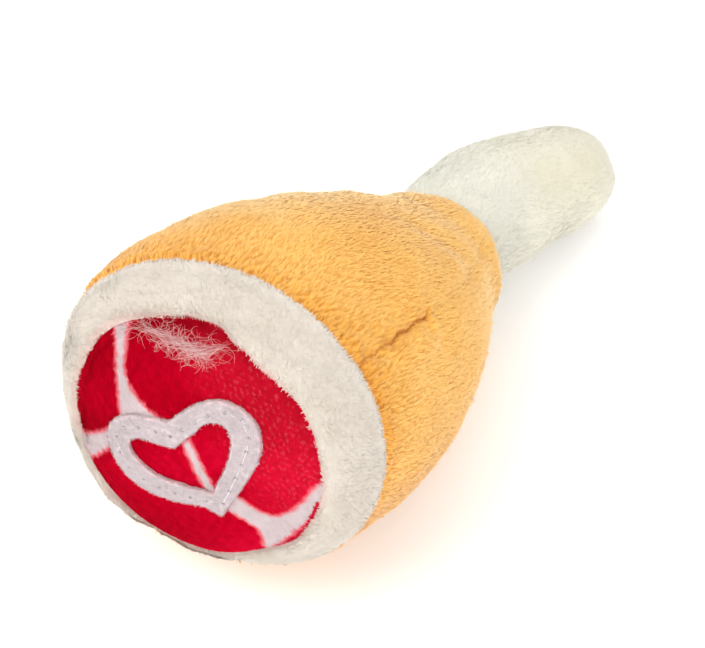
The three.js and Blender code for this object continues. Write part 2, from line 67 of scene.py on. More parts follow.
def turned_down(directions):
    return directions @ lying_turn.T


def set_down(places):
    lying = turned_down(places) + cut_face_centre
    lying[..., 2] = np.maximum(lying[..., 2], floor_gap)
    return lying / 1000


# Floor, light and camera
# A matt white light table, lit faintly from below, in a light tent: soft daylight from all round, a
# wide lamp high on the left, a lower one beside the camera and a weak one behind the toy. The camera
# looks down on the toy from in front of its cut face.
table_half = 4
table_corners = [(table_half * x, table_half * y, 0) for x, y in ((-1, -1), (1, -1), (1, 1), (-1, 1))]
table = bpy.data.objects.new("white_table", bpy.data.meshes.new("white_table"))
table.data.from_pydata(table_corners, [], [(0, 1, 2, 3)])
bpy.context.scene.collection.objects.link(table)


def set_inputs(node, settings):
    for socket, value in settings.items():
        node.inputs[socket].default_value = value


def new_finish(name, settings):
    material = bpy.data.materials.new(name)
    material.use_nodes = True
    nodes, links = material.node_tree.nodes, material.node_tree.links
    shader = nodes["Principled BSDF"]
    set_inputs(shader, settings)
    return material, nodes, links, shader


white_board = {
    "Base Color": (0.93, 0.93, 0.93, 1),
    "Roughness": 0.9,
    "Emission Color": (1, 1, 1, 1),
    "Emission Strength": 0.14,
}
table.data.materials.append(new_finish("matt_white_board", white_board)[0])

daylight = bpy.data.worlds.new("light_tent")
daylight.use_nodes = True
set_inputs(daylight.node_tree.nodes["Background"], {"Color": (1, 0.995, 0.985, 1), "Strength": 0.95})
bpy.context.scene.world = daylight


def hang_lamp(name, place, aim, size, power):
    lamp = bpy.data.lights.new(name, "AREA")
    lamp.shape = "DISK"
    lamp.size = size
    lamp.energy = power
    holder = bpy.data.objects.new(name, lamp)
    holder.location = place
    holder.rotation_euler = (Vector(aim) - Vector(place)).to_track_quat("-Z", "Y").to_euler()
    bpy.context.scene.collection.objects.link(holder)


toy_middle = (0, 0, 0.04)
hang_lamp("wide_lamp_left", (-0.75, 0.35, 1.0), toy_middle, 0.9, 6)
hang_lamp("wide_lamp_front", (-0.85, -0.55, 0.55), toy_middle, 0.9, 4.6)
hang_lamp("wide_lamp_rear", (0.75, 0.25, 0.85), toy_middle, 1.0, 1.8)

bpy.context.scene.view_settings.view_transform = "Standard"
camera = bpy.data.objects.new("camera", bpy.data.cameras.new("camera"))
camera.data.lens = 104.5
camera.data.sensor_width = 36
camera.data.clip_start = 0.01
camera_heading = math.radians(32.98)
camera_fall = math.radians(45.49)
camera_roll = math.radians(0.924)
camera.matrix_world = (
    Matrix.Translation((-0.3403, -0.2109, 0.4254))
    @ Matrix.Rotation(camera_heading - math.pi / 2, 4, "Z")
    @ Matrix.Rotation(math.pi / 2 - camera_fall, 4, "X")
    @ Matrix.Rotation(camera_roll, 4, "Z")
)
bpy.context.scene.collection.objects.link(camera)
bpy.context.scene.camera = camera

# Golden cover of the ham
# Two panels of short golden plush, sewn together along both sides and stuffed tight. Its backing
# cloth rolls into the face seam and into the neck, and is drawn in along the near side seam.
ham_length = 108.0
face_half_width, face_half_height = 44.8, 41.3
belly_half_width, belly_half_height = 46.6, 42.7
neck_radius = 17.9
near_seam, far_seam = math.radians(137.5), math.radians(317.5)
pile_depth = 0.4


def pointing(turn, tilt):
    turn, tilt = math.radians(turn), math.radians(tilt)
    return np.array([math.cos(tilt) * math.cos(turn), math.cos(tilt) * math.sin(turn), math.sin(tilt)])


neck_centre = np.array([ham_length, 0, 0])
neck_ahead = pointing(6.1, 11.1)
ham_handles = np.array([
    [0, 0, 0],
    pointing(8.6, -3.7) * ham_length / 3,
    neck_centre - neck_ahead * ham_length / 3,
    neck_centre,
])


def unit(vectors):
    return vectors / np.maximum(np.linalg.norm(vectors, axis=-1, keepdims=True), 1e-9)


def around(aside, up, angle, wide=1, high=1):
    """From a centre to a place round it at this angle, on an oval so wide and high"""
    return aside * (wide * np.cos(angle))[..., None] + up * (high * np.sin(angle))[..., None]


def turn_from(middle, angle):
    """How far an angle lies from a middle one, either way round"""
    return (angle - middle + math.pi) % (2 * math.pi) - math.pi


def along_line(handles, share):
    """Centre of a stuffed piece at a share of its length, with its directions ahead, aside and up"""
    t = np.asarray(share, float)[..., None]
    a, b, c, d = handles
    centre = (1 - t) ** 3 * a + 3 * (1 - t) ** 2 * t * b + 3 * (1 - t) * t ** 2 * c + t ** 3 * d
    ahead = unit((1 - t) ** 2 * (b - a) + 2 * (1 - t) * t * (c - b) + t ** 2 * (d - c))
    up = unit(np.array([0, 0, 1]) - ahead[..., 2:] * ahead)
    return centre, ahead, np.cross(up, ahead), up


def through(stations, values, at):
    """A smooth line through the values at the stations"""
    stations, values, at = np.asarray(stations, float), np.asarray(values, float), np.asarray(at, float)
    slope = np.gradient(values, stations)
    i = np.clip(np.searchsorted(stations, at) - 1, 0, len(stations) - 2)
    gap = stations[i + 1] - stations[i]
    t = np.clip((at - stations[i]) / gap, 0, 1)
    return (
        (1 + 2 * t) * (1 - t) ** 2 * values[i] + t * (1 - t) ** 2 * gap * slope[i]
        + t * t * (3 - 2 * t) * values[i + 1] + t * t * (t - 1) * gap * slope[i + 1]
    )


def rise(low, high, at):
    t = np.clip((at - low) / (high - low), 0, 1)
    return t * t * (3 - 2 * t)


def bump(distance, width):
    return np.exp(-(distance / width) ** 2)


def uneven(places, width, seed, waves=14):
    """Soft unevenness from -1 to 1 with humps about as wide as width, and which way it climbs"""
    chance = np.random.default_rng(seed)
    height, climb = 0, 0
    for heading in unit(chance.normal(size=(waves, 3))):
        wave = heading * 2 * math.pi / (2 * width * chance.uniform(0.75, 1.4))
        phase = places @ wave + chance.uniform(0, 2 * math.pi)
        height = height + np.sin(phase)
        climb = climb + np.cos(phase)[..., None] * wave
    scale = 1 / math.sqrt(waves)
    return np.clip(height * scale, -1, 1), climb * scale


def lumpy(places, *lumps):
    """Soft lumps on top of each other, each kind with its height, width and seed"""
    return sum(height * uneven(places, width, seed)[0] for height, width, seed in lumps)


def line_distance(along, across, line):
    """Distance from each place on a flat pattern to a line drawn on it, and how far along it that is"""
    line = np.array(line, float)
    nearest = np.full(np.broadcast(along, across).shape, np.inf)
    travelled = np.zeros_like(nearest)
    done = 0
    for start, end in zip(line[:-1], line[1:]):
        step = end - start
        length = np.linalg.norm(step)
        t = np.clip(((along - start[0]) * step[0] + (across - start[1]) * step[1]) / length ** 2, 0, 1)
        distance = np.hypot(along - start[0] - t * step[0], across - start[1] - t * step[1])
        closer = distance < nearest
        nearest = np.where(closer, distance, nearest)
        travelled = np.where(closer, done + t * length, travelled)
        done += length
    return nearest, travelled / done


# The near seam's crease with its hook, and the soft fold on the shoulder: millimetres from the
# face seam, and millimetres or degrees round the ham
crease_line = [
    (0, 0.5), (5, -0.6), (9, 0.4), (14, -0.3), (19, 0.5), (24, -0.6), (29, 0.1), (33, -0.7), (38.5, 0)]
hook_line = [(40, -1.1), (38.5, 0), (37.2, 2.8)]
fold_line = [(61.5, 94), (67, 105), (74.5, 116), (78, 130), (75.5, 146)]
seam_arm, fold_arm = 38, 31
fold_marks = np.array([(place, math.radians(angle) * fold_arm) for place, angle in fold_line])


def ham_radii(share):
    stations = [0, 0.12, 0.3, 0.5, 0.7, 0.87, 1]
    face = through(stations, [1, 0.17, 0, 0, 0, 0, 0], share)
    belly = through(stations, [0, 0.83, 1, 0.868, 0.574, 0.253, 0], share)
    neck = 1 - face - belly
    wide = face * face_half_width + belly * belly_half_width + neck * neck_radius
    high = face * face_half_height + belly * belly_half_height + neck * neck_radius
    return wide, high


def crease_depth(from_face, seam_offset):
    line, _ = line_distance(from_face, seam_offset, crease_line)
    hook, _ = line_distance(from_face, seam_offset, hook_line)
    strength = (0.45 + 0.55 * rise(12, 27, from_face)) * (1 - 0.8 * rise(38, 42, from_face))
    valley = 1.3 * strength * bump(line, 0.75) + 0.8 * bump(hook, 0.6)
    past = 0.7 * rise(40, 44, from_face) * (1 - rise(92, 100, from_face)) * bump(seam_offset, 1.5)
    lips = 0.8 * strength * bump(np.abs(seam_offset) - 4.6, 2.6)
    return valley + past - lips


def fold_depth(from_face, angle):
    distance, share = line_distance(from_face, angle * fold_arm, fold_marks)
    fading = np.sin(math.pi * np.clip(share, 0.04, 0.96))
    behind = from_face - np.interp(angle * fold_arm, fold_marks[:, 1], fold_marks[:, 0])
    return fading * (0.9 * bump(distance, 5) - 0.6 * bump(behind + 8, 5.5) - 0.4 * bump(behind - 9, 6))


def near_angle(angle, middle, width):
    return bump(turn_from(middle, angle), width)


def less_full(angle):
    """How much less full the cut face's rim is, on its left and at its lowest. It is fuller between them."""
    left, lowest = 1.7 * near_angle(angle, -0.2, 0.45), 0.8 * near_angle(angle, -1.85, 0.4)
    return left - 1.1 * near_angle(angle, -0.95, 0.35) + lowest


def ham_surface(share, angle, pulled=0):
    centre, ahead, aside, up = along_line(ham_handles, share)
    wide, high = ham_radii(share)
    from_face = share * ham_length
    plain = centre + around(aside, up, angle, wide, high)
    near = (angle - near_seam) * seam_arm
    far = turn_from(far_seam, angle) * seam_arm
    lift = -pile_depth - crease_depth(from_face, near) - fold_depth(from_face, angle)
    lift -= 1.0 * bump(far + 0.5 * np.sin(from_face * 0.5), 1.5) * (1 - rise(92, 100, from_face))
    lift += lumpy(plain, (0.55, 22, 3), (0.22, 7, 4))
    lift += 0.25 * uneven(plain, 2.6, 5)[0] * (bump(from_face, 6) + bump(near, 6) * (from_face < 44))
    lift -= 0.4 * bump(from_face, 1.0)
    lift += 0.9 * bump(from_face - 101, 4.5) - 0.5 * bump(from_face - 91, 5)
    lift += 1.6 * bump(from_face - 11, 10) * near_angle(angle, 0.75, 0.5)
    top_dip = 0.8 * bump(from_face - 40, 16) * near_angle(angle, 0.95, 0.6)
    lift -= top_dip + less_full(angle) * bump(from_face, 16)
    lift = lift - pulled
    return plain + around(aside, up, angle, lift, lift)


ham_shares = np.concatenate([
    np.linspace(0, 0.03, 12)[:-1], np.linspace(0.03, 0.95, 190)[:-1], np.linspace(0.95, 1, 14)])
ham_turns = np.linspace(0, 2 * math.pi, 393)
ham_angles = ham_turns - 0.42 * np.sin(ham_turns - near_seam)
share_grid, angle_grid = np.meshgrid(ham_shares, ham_angles, indexing="ij")
ham_rows = ham_surface(share_grid, angle_grid)
_, face_ahead, face_aside, face_up = along_line(ham_handles, np.array(0.0))
_, _, neck_aside, neck_up = along_line(ham_handles, np.array(1.0))

# Its hems, row by row: millimetres past the cover's edge towards the bone, and millimetres pulled
# in. In front the cover is turned in at the face seam, and at the neck its lip turns in round the bone.
face_hem = [(0.0, 3.4), (-0.25, 2.2), (-0.35, 1.2), (-0.25, 0.5), (-0.1, 0.15)]
neck_hem = [(0.7, 0.35), (1.1, 1.0), (1.0, 1.8), (0.4, 2.5), (-1.0, 3.0), (-3.5, 3.2)]
turned_in = [ham_surface(np.zeros_like(ham_angles), ham_angles, pulled) + face_ahead * forward
             for forward, pulled in face_hem]
lip = [ham_surface(np.ones_like(ham_angles), ham_angles, pulled) + neck_ahead * forward
       for forward, pulled in neck_hem]
ham_rows = np.concatenate([np.array(turned_in), ham_rows, np.array(lip)])
ham_share_rows = np.concatenate([
    np.zeros((len(turned_in), len(ham_angles))), share_grid, np.ones((len(lip), len(ham_angles)))])
ham_angle_rows = np.tile(ham_angles, (len(ham_rows), 1))


def outward(rows, inside):
    """The directions away from the filling all over a sheet of cloth"""
    down = np.gradient(rows, axis=0)
    across = np.gradient(rows, axis=1)
    if np.allclose(rows[:, 0], rows[:, -1], atol=1e-6):
        across[:, 0] = across[:, -1] = (rows[:, 1] - rows[:, -2]) / 2
    away = unit(np.cross(down, across))
    return away if np.sum(away * (rows - inside)) > 0 else -away


def dye(red, green, blue):
    """Linear colour of a dye that is named by its shades from 0 to 255"""
    shade = np.array([red, green, blue]) / 255
    return np.where(shade <= 0.04045, shade / 12.92, ((shade + 0.055) / 1.055) ** 2.4)


def mixed(shades, tone):
    """Colour between the darkest shade at tone 0 and the palest at tone 1"""
    steps = np.linspace(0, 1, len(shades))
    return np.stack([np.interp(tone, steps, [shade[k] for shade in shades]) for k in range(3)], -1)


def add_piece(name, places, corners, starts, patches, colours, facing=None):
    """A piece from its places in the frame, its faces, its flat pattern and the colour at each place"""
    mesh = bpy.data.meshes.new(name)
    mesh.vertices.add(len(places))
    mesh.vertices.foreach_set("co", places.astype(np.float32).ravel())
    mesh.loops.add(len(corners))
    mesh.loops.foreach_set("vertex_index", corners.astype(np.int32))
    mesh.polygons.add(len(starts))
    mesh.polygons.foreach_set("loop_start", starts.astype(np.int32))
    mesh.update(calc_edges=True)
    mesh.uv_layers.new(name="OFBake").data.foreach_set("uv", patches.astype(np.float32).ravel())
    dyed = mesh.color_attributes.new("Dye", "FLOAT_COLOR", "POINT")
    dyes = np.column_stack([colours, np.ones(len(colours))])
    dyed.data.foreach_set("color", dyes.astype(np.float32).ravel())
    mesh.shade_smooth()
    if facing is not None:
        mesh.normals_split_custom_set_from_vertices(facing.tolist())
    piece = bpy.data.objects.new(name, mesh)
    bpy.context.scene.collection.objects.link(piece)
    return piece


def cloth_piece(name, rows, inside, colours, first_point=None, last_point=None, placed=set_down):
    """A sheet of cloth over rows of places, joined where its first and last columns meet

    It may close in a point before its first row or past its last one.
    """
    closed = np.allclose(rows[:, 0], rows[:, -1], atol=1e-6)
    deep, wide = rows.shape[:2]
    margin = 0.02
    kept = wide - 1 if closed else wide
    index = np.arange(deep * kept).reshape(deep, kept)
    index = np.concatenate([index, index[:, :1]], 1) if closed else index
    away = outward(rows, inside)
    winding = np.sum(np.cross(rows[1, 1] - rows[1, 0], rows[2, 0] - rows[1, 0]) * away[1, 0]) > 0
    square = [(0, 0), (0, 1), (1, 1), (1, 0)] if winding else [(0, 0), (1, 0), (1, 1), (0, 1)]
    i, j = (a.ravel() for a in np.meshgrid(np.arange(deep - 1), np.arange(wide - 1), indexing="ij"))
    corners = np.stack([index[i + a, j + b] for a, b in square], 1).ravel()
    room = 1 - 2 * margin
    patches = np.stack([np.stack([(j + b) / (wide - 1), margin + room * (i + a) / (deep - 1)], -1)
                        for a, b in square], 1).reshape(-1, 2)
    starts = np.arange(len(i)) * 4
    places = rows[:, :kept].reshape(-1, 3)
    colours = colours[:, :kept].reshape(-1, 3)
    for point, row, edge in ((first_point, 0, 0), (last_point, deep - 1, 1)):
        if point is None:
            continue
        j = np.arange(wide - 1)
        pair = (index[row, j], index[row, j + 1])
        first, second = pair if (edge == 1) == winding else pair[::-1]
        side = margin + room * edge
        ends = np.stack([np.stack([(j + step) / (wide - 1), np.full(len(j), height)], -1)
                         for step, height in ((0, side), (1, side), (0.5, edge))], 1)
        patches = np.concatenate([patches, ends.reshape(-1, 2)])
        starts = np.concatenate([starts, len(corners) + np.arange(len(j)) * 3])
        fan = np.stack([first, second, np.full(len(j), len(places))], 1)
        corners = np.concatenate([corners, fan.ravel()])
        places = np.concatenate([places, [point]])
        colours = np.concatenate([colours, colours[index[row, :1]]])
    return add_piece(name, placed(places), corners, starts, patches, colours)


def sown(rows, inside, marks, per_square, seed, density=None):
    """Where the hairs of a pile stand on a cloth: their roots, the way out and the cloth's marks there"""
    chance = np.random.default_rng(seed)
    away = outward(rows, inside)
    across = rows[:-1, 1:] - rows[:-1, :-1]
    down = rows[1:, :-1] - rows[:-1, :-1]
    area = np.linalg.norm(np.cross(across, down), axis=-1)
    area = area if density is None else area * density[:-1, :-1]
    count = round(per_square * area.sum())
    cell = chance.choice(area.size, count, p=area.ravel() / area.sum())
    i, j = np.divmod(cell, area.shape[1])
    p, q = chance.random((2, count, 1))

    def at(grid):
        first = grid[i, j] * (1 - p) + grid[i + 1, j] * p
        second = grid[i, j + 1] * (1 - p) + grid[i + 1, j + 1] * p
        return first * (1 - q) + second * q

    return at(rows), unit(at(away)), at(marks)


def hair_lengths(length, count, seed):
    return length * np.random.default_rng(seed).uniform(0.72, 1.18, count)


def soft_tufts(places, size, seed):
    """Tufts of hair about as wide as size: their height, and which way and how steeply they slope"""
    height, climb = uneven(places, size, seed, 30)
    return height, climb * size


def pile_piece(name, roots, away, nap, length, width, lean, stray, tone, shades, tufts, relief, contrast,
               seed):
    """A pile of fine hairs, each one a flat tapered blade with a knee that leans along the nap

    The lean and how far hairs stray from the nap are in degrees. Tips draw together into tufts, which
    also tilt the hairs' shading normals. The hairs' colour holds painted light on the tufts' crests and
    painted shade in their hollows and at the roots, as much as contrast says.
    """
    chance = np.random.default_rng(seed)
    count = len(roots)
    tuft_height, tuft_climb = tufts
    tuft_climb = tuft_climb - np.sum(tuft_climb * away, -1, keepdims=True) * away
    relief = np.reshape(relief, (-1, 1))
    nap = unit(nap - np.sum(nap * away, -1, keepdims=True) * away)
    swing = chance.normal(0, math.radians(stray), (count, 1))
    ahead = nap * np.cos(swing) + np.cross(away, nap) * np.sin(swing)
    lean = np.radians(np.reshape(lean, (-1, 1)) - 18 * (chance.random((count, 1)) < 0.03))
    low = lean - 0.13 + chance.normal(0, 0.06, (count, 1))
    high = lean + 0.1 + chance.normal(0, 0.06, (count, 1))
    size = np.reshape(length, (-1, 1)) * chance.uniform(0.9, 1.1, (count, 1))
    knees = roots + size * 0.5 * (away * np.cos(low) + ahead * np.sin(low))
    drawn = tuft_climb * 0.05 * size
    tips = knees + size * 0.5 * (away * np.cos(high) + ahead * np.sin(high)) + drawn
    tilt = chance.normal(0, 0.15, (count, 1))
    half = np.reshape(width, (-1, 1)) / 2 * chance.uniform(0.75, 1.25, (count, 1))
    sideways = (np.cross(away, ahead) * np.cos(tilt) + away * np.sin(tilt)) * half
    knees_drawn = knees + drawn * 0.4
    at_knees = sideways * 0.9
    blades = np.stack([
        roots - sideways, roots + sideways, knees_drawn - at_knees, knees_drawn + at_knees, tips], 1)
    facing = unit(away - relief * (tuft_climb + chance.normal(0, 0.25, (count, 3))))
    # Painted light on the tufts' crests, painted shade in their hollows and at the roots; tips paler
    tone = tone + contrast * (0.16 * tuft_height + chance.normal(0, 0.1, count))
    tones = np.stack([tone - 0.2 * contrast, tone - 0.2 * contrast, tone, tone, tone + 0.08 * contrast], 1)
    colours = shades(tones) if callable(shades) else mixed(shades, tones)
    grid = math.ceil(math.sqrt(count))
    column, row = np.arange(count) % grid, np.arange(count) // grid
    left, right = 0.15, 0.85
    pattern = np.array([
        (right, 0.1), (left, 0.1), (left, 0.5), (right, 0.5), (right, 0.5), (left, 0.5), (0.5, 0.9)])
    patches = (np.stack([column, row], -1)[:, None] + pattern) / grid
    corners = np.arange(count)[:, None] * 5 + np.array([1, 0, 2, 3, 3, 2, 4])
    starts = np.arange(count)[:, None] * 7 + np.array([0, 4])
    faces = turned_down(np.repeat(facing, 5, axis=0))
    return add_piece(name, set_down(blades.reshape(-1, 3)), corners.ravel(), starts.ravel(),
                     patches.reshape(-1, 2), colours.reshape(-1, 3), faces)


def add_clouds(nodes, links, size, detail, distortion=0):
    """Soft clouds about so many millimetres wide, fixed to the piece"""
    place = nodes.new("ShaderNodeTexCoord")
    clouds = nodes.new("ShaderNodeTexNoise")
    set_inputs(clouds, {"Scale": 1000 / size, "Detail": detail, "Distortion": distortion})
    links.new(place.outputs["Object"], clouds.inputs["Vector"])
    return clouds.outputs["Fac"]


def add_relief(nodes, links, shader, clouds, height, strength):
    """Raises the palest clouds by so many millimetres"""
    raised = nodes.new("ShaderNodeBump")
    set_inputs(raised, {"Strength": strength, "Distance": height / 1000})
    links.new(clouds, raised.inputs["Height"])
    links.new(raised.outputs["Normal"], shader.inputs["Normal"])


def plush_finish(name, roughness, sheen, sheen_colour, speck, speck_size, relief=0, relief_size=1,
                 shine=0.2):
    """Dyed pile or cloth: its dye with faint specks, matt, with the sheen of fine hairs and a fine relief"""
    material, nodes, links, shader = new_finish(name, {
        "Roughness": roughness,
        "Specular IOR Level": shine,
        "Sheen Weight": sheen,
        "Sheen Roughness": 0.45,
        "Sheen Tint": (*sheen_colour, 1),
    })
    dyed = nodes.new("ShaderNodeAttribute")
    dyed.attribute_name = "Dye"
    amount = nodes.new("ShaderNodeMapRange")
    set_inputs(amount, {"To Min": 1 - speck, "To Max": 1 + speck})
    tinted = nodes.new("ShaderNodeVectorMath")
    tinted.operation = "SCALE"
    links.new(add_clouds(nodes, links, speck_size, 3), amount.inputs["Value"])
    links.new(dyed.outputs["Color"], tinted.inputs[0])
    links.new(amount.outputs["Result"], tinted.inputs["Scale"])
    links.new(tinted.outputs["Vector"], shader.inputs["Base Color"])
    if relief:
        add_relief(nodes, links, shader, add_clouds(nodes, links, relief_size, 4), relief, 0.6)
    return material


ham_inside = np.array([45.0, 0, 0])
golden_shades = [
    dye(204, 126, 38), dye(233, 166, 70), dye(245, 191, 98), dye(249, 211, 138), dye(251, 229, 180)]
golden_backing = plush_finish("golden_backing_cloth", 0.95, 0.2, dye(255, 226, 180), 0.08, 0.8, 0.3, 0.6)
golden_pile = plush_finish("golden_pile", 0.85, 0.55, dye(255, 238, 210), 0.03, 1.5)


def golden_tone(places, share, angle):
    from_face = share * ham_length
    near = (angle - near_seam) * seam_arm
    tone = 0.48 + lumpy(places, (0.03, 16, 21), (0.02, 5, 22))
    # Painted shade darkens a strip along the face seam; painted sheen makes it paler towards the neck
    tone = tone - 0.16 * bump(from_face, 7) + 0.1 * rise(50, 92, from_face)
    # Painted highlight: paler along the top, standing in for sheen
    tone = tone + 0.3 * near_angle(angle, 0.95, 0.45) * rise(12, 35, from_face)
    # Painted shade: darker on the lower right of the front half
    tone = tone - 0.2 * near_angle(angle, 3.8, 0.5) * (1 - rise(55, 90, from_face))
    # Painted shade in the near seam's crease and its hook, with a faint wider band round the crease
    line, _ = line_distance(from_face, near, crease_line)
    hook, _ = line_distance(from_face, near, hook_line)
    dark = (0.35 + 0.65 * rise(8, 24, from_face)) * bump(line, 0.42) + 0.8 * bump(hook, 0.4)
    tone = tone - 0.5 * np.minimum(dark, 1) - 0.08 * bump(line, 2.4)
    # Painted shade where the shoulder fold dips in
    return tone - 0.06 * np.clip(fold_depth(from_face, angle), 0, 2)


ham_tone = golden_tone(ham_rows, ham_share_rows, ham_angle_rows)
golden_cover = cloth_piece("golden_cover", ham_rows, ham_inside, mixed(golden_shades, ham_tone - 0.08))
golden_cover.data.materials.append(golden_backing)
collar_start = set_down(neck_centre - 20 * neck_ahead)
collar_end = set_down(neck_centre)
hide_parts("body_panel_top", "body_panel_bottom")
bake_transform(golden_cover)

# Golden pile
# Short fine hairs, 2.6 mm long, combed back from the cut face towards the neck. They turn a little
# to the near side on the belly, are shorter at the seams and stand up where they meet the ring.
golden_hairs_per_square = 4.0
golden_hair_length, golden_hair_width = 2.6, 0.34


def combed_tufts(from_face, angle, ahead, round_ham, seed):
    """Tufts of combed hair, long along the nap and narrow across it"""
    flat = np.stack([from_face * 0.24, angle * seam_arm, np.zeros_like(from_face)], -1)
    height, climb = uneven(flat, 0.42, seed, 30)
    return height, 0.42 * (0.24 * climb[:, :1] * ahead + climb[:, 1:2] * round_ham)


def grow_golden(name, first_column, last_column, seed):
    columns = slice(first_column, last_column + 1)
    marks = np.stack([ham_share_rows, ham_angle_rows], -1)[:, columns]
    row = np.arange(len(ham_rows))[:, None] - len(turned_in)
    grown = np.broadcast_to((row >= -1) & (row < len(ham_shares) + 2), marks.shape[:2])
    roots, away, marks = sown(ham_rows[:, columns], ham_inside, marks, golden_hairs_per_square, seed, grown)
    share, angle = marks[:, 0], marks[:, 1]
    _, ahead, aside, up = along_line(ham_handles, np.minimum(share, 1))
    round_ham = -aside * np.sin(angle)[:, None] + up * np.cos(angle)[:, None]
    from_face = share * ham_length
    near = (angle - near_seam) * seam_arm
    by_crease = bump(near, 4) * (1 - rise(40, 46, from_face))
    swirl = 0.28 * rise(10, 35, from_face) * np.sin(angle - 0.5) + 0.2 * uneven(roots, 14, 31)[0]
    swirl = (swirl * (1 - 0.9 * by_crease))[:, None]
    length = hair_lengths(golden_hair_length, len(roots), seed) * (1 - 0.3 * bump(from_face - 2, 2))
    length = length * (1 - 0.5 * by_crease * bump(near, 1.3)) * (1 - 0.6 * rise(0.955, 1, share))
    tufts = combed_tufts(from_face, angle, ahead, round_ham, seed + 1)
    by_ring = bump(from_face, 30)
    on_top = near_angle(angle, 1.1, 0.7) * rise(5, 25, from_face)
    relief = (0.02 + 0.04 * by_ring) * (1 - 0.8 * on_top)
    contrast = (0.2 + 0.2 * by_ring) * (1 - 0.5 * on_top)
    # Painted shade in the hollows between the tufts, strongest near the ring and faint on top
    painted_gap_shade = (0.07 + 0.13 * by_ring) * (1 - 0.6 * on_top) * rise(0.25, 0.9, -tufts[0])
    tone = golden_tone(roots, share, angle) - painted_gap_shade
    lean = 83 + 4 * on_top - 30 * bump(from_face, 1.4)
    pile = pile_piece(name, roots, away, ahead + swirl * round_ham, length, golden_hair_width, lean, 9,
                      tone, golden_shades, tufts, relief, contrast, seed)
    pile.data.materials.append(golden_pile)
    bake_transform(pile)


half_turn_columns = (len(ham_angles) - 1) // 2
grow_golden("golden_pile_upper", 0, half_turn_columns, 41)
grow_golden("golden_pile_lower", half_turn_columns, len(ham_angles) - 1, 51)

# Cut face: fat
# A ring of cream plush, sewn to the golden cover outside and to the meat inside. Filling domes
# the whole face, and the ring bulges between its two seams.
meat_edge_angles = [-180, -162, -148, -132, -101, -54, -9, 17, 38, 72, 89, 112, 132, 161, 180]
meat_edge_radii = [34.6, 34.7, 34.6, 32.8, 34.2, 36.0, 32.8, 33.6, 34.2, 33.0, 33.3, 31.9, 32.7, 33.7, 34.6]
meat_middle = np.array([1.6, -4.2])
face_dome, dome_power = 14.0, 0.68


def face_place(aside, upward, pressed=0):
    """A place on the domed cut face, pressed in by so many millimetres"""
    spread = (aside / (face_half_width - pressed)) ** 2 + (upward / (face_half_height - pressed)) ** 2
    height = (face_dome - pressed) * np.maximum(1 - spread, 0) ** dome_power
    return (
        face_ahead * -height[..., None] + face_aside * np.asarray(aside)[..., None]
        + face_up * np.asarray(upward)[..., None]
    )


def meat_edge(angle):
    """Radius of the meat, which is sewn in a little out of round"""
    return through(meat_edge_angles, meat_edge_radii, np.degrees(turn_from(0, angle)))


ring_steps = np.linspace(0, 1, 78)
ring_angles = np.linspace(0, 2 * math.pi, 481)
ring_share, ring_angle = np.meshgrid(np.sin(ring_steps * math.pi / 2) ** 1.2, ring_angles, indexing="ij")


def ring_surface(share, angle, rolled=0):
    pointing_out = np.stack([np.cos(angle), np.sin(angle)], -1)
    inner = meat_middle + meat_edge(angle)[..., None] * pointing_out
    rim_inset = (0.6 + rolled + less_full(angle))[..., None]
    outer = np.array([face_half_width, face_half_height]) * pointing_out - rim_inset * pointing_out
    flat = inner + (outer - inner) * share[..., None]
    plain = face_place(flat[..., 0], flat[..., 1])
    from_meat = share * np.linalg.norm(outer - inner, axis=-1)
    lumps = lumpy(plain, (0.35, 9, 61), (0.2, 3.5, 62)) + 0.7 * bump(share - 0.5, 0.33)
    pressed = 0.45 + rolled + 1.2 * bump(from_meat, 1.2) - lumps * (1 - rise(0.8, 1, share))
    pressed = pressed + less_full(angle) * rise(0.1, 0.8, share)
    return face_place(flat[..., 0], flat[..., 1], pressed), from_meat


ring_rows, ring_from_meat = ring_surface(ring_share, ring_angle)

# Its hem at the face seam, row by row: millimetres behind the rim and millimetres rolled in
ring_hem = [(0.15, 0.15), (0.4, 0.5), (0.55, 1.2), (0.5, 2.4)]
rolled_rows = [ring_surface(np.ones_like(ring_angles), ring_angles, rolled)[0] + face_ahead * behind
               for behind, rolled in ring_hem]
hem_share = np.ones((len(ring_hem), len(ring_angles)))
ring_width = 12.0
ring_rows = np.concatenate([ring_rows, np.array(rolled_rows)])
ring_share = np.concatenate([ring_share, hem_share])
ring_angle = np.concatenate([ring_angle, hem_share * ring_angles])
ring_from_meat = np.concatenate([ring_from_meat, hem_share * ring_width])
cream_shades = [dye(180, 169, 154), dye(196, 186, 173), dye(206, 197, 185), dye(217, 209, 199)]
cream_backing = plush_finish("cream_backing_cloth", 0.95, 0.2, (1, 1, 0.98), 0.05, 0.8, 0.3, 0.6)
cream_pile = plush_finish("cream_pile", 0.9, 0.3, (1, 1, 0.98), 0.03, 1.2)


def cream_tone(places):
    return 0.66 + lumpy(places, (0.08, 9, 63), (0.05, 2.2, 64))


cream_ring = cloth_piece("cream_ring", ring_rows, ham_inside, mixed(cream_shades, cream_tone(ring_rows)))
cream_ring.data.materials.append(cream_backing)
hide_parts("fat_ring")
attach(cream_ring, "ham")

cream_hairs_per_square = 17.0


def red_over_cream(angle):
    """How much the red pile lies over the cream one here at their seam. Elsewhere the cream lies over it."""
    return np.minimum(near_angle(angle, 0.25, 0.75) + 0.8 * near_angle(angle, 1.5, 0.3), 1)


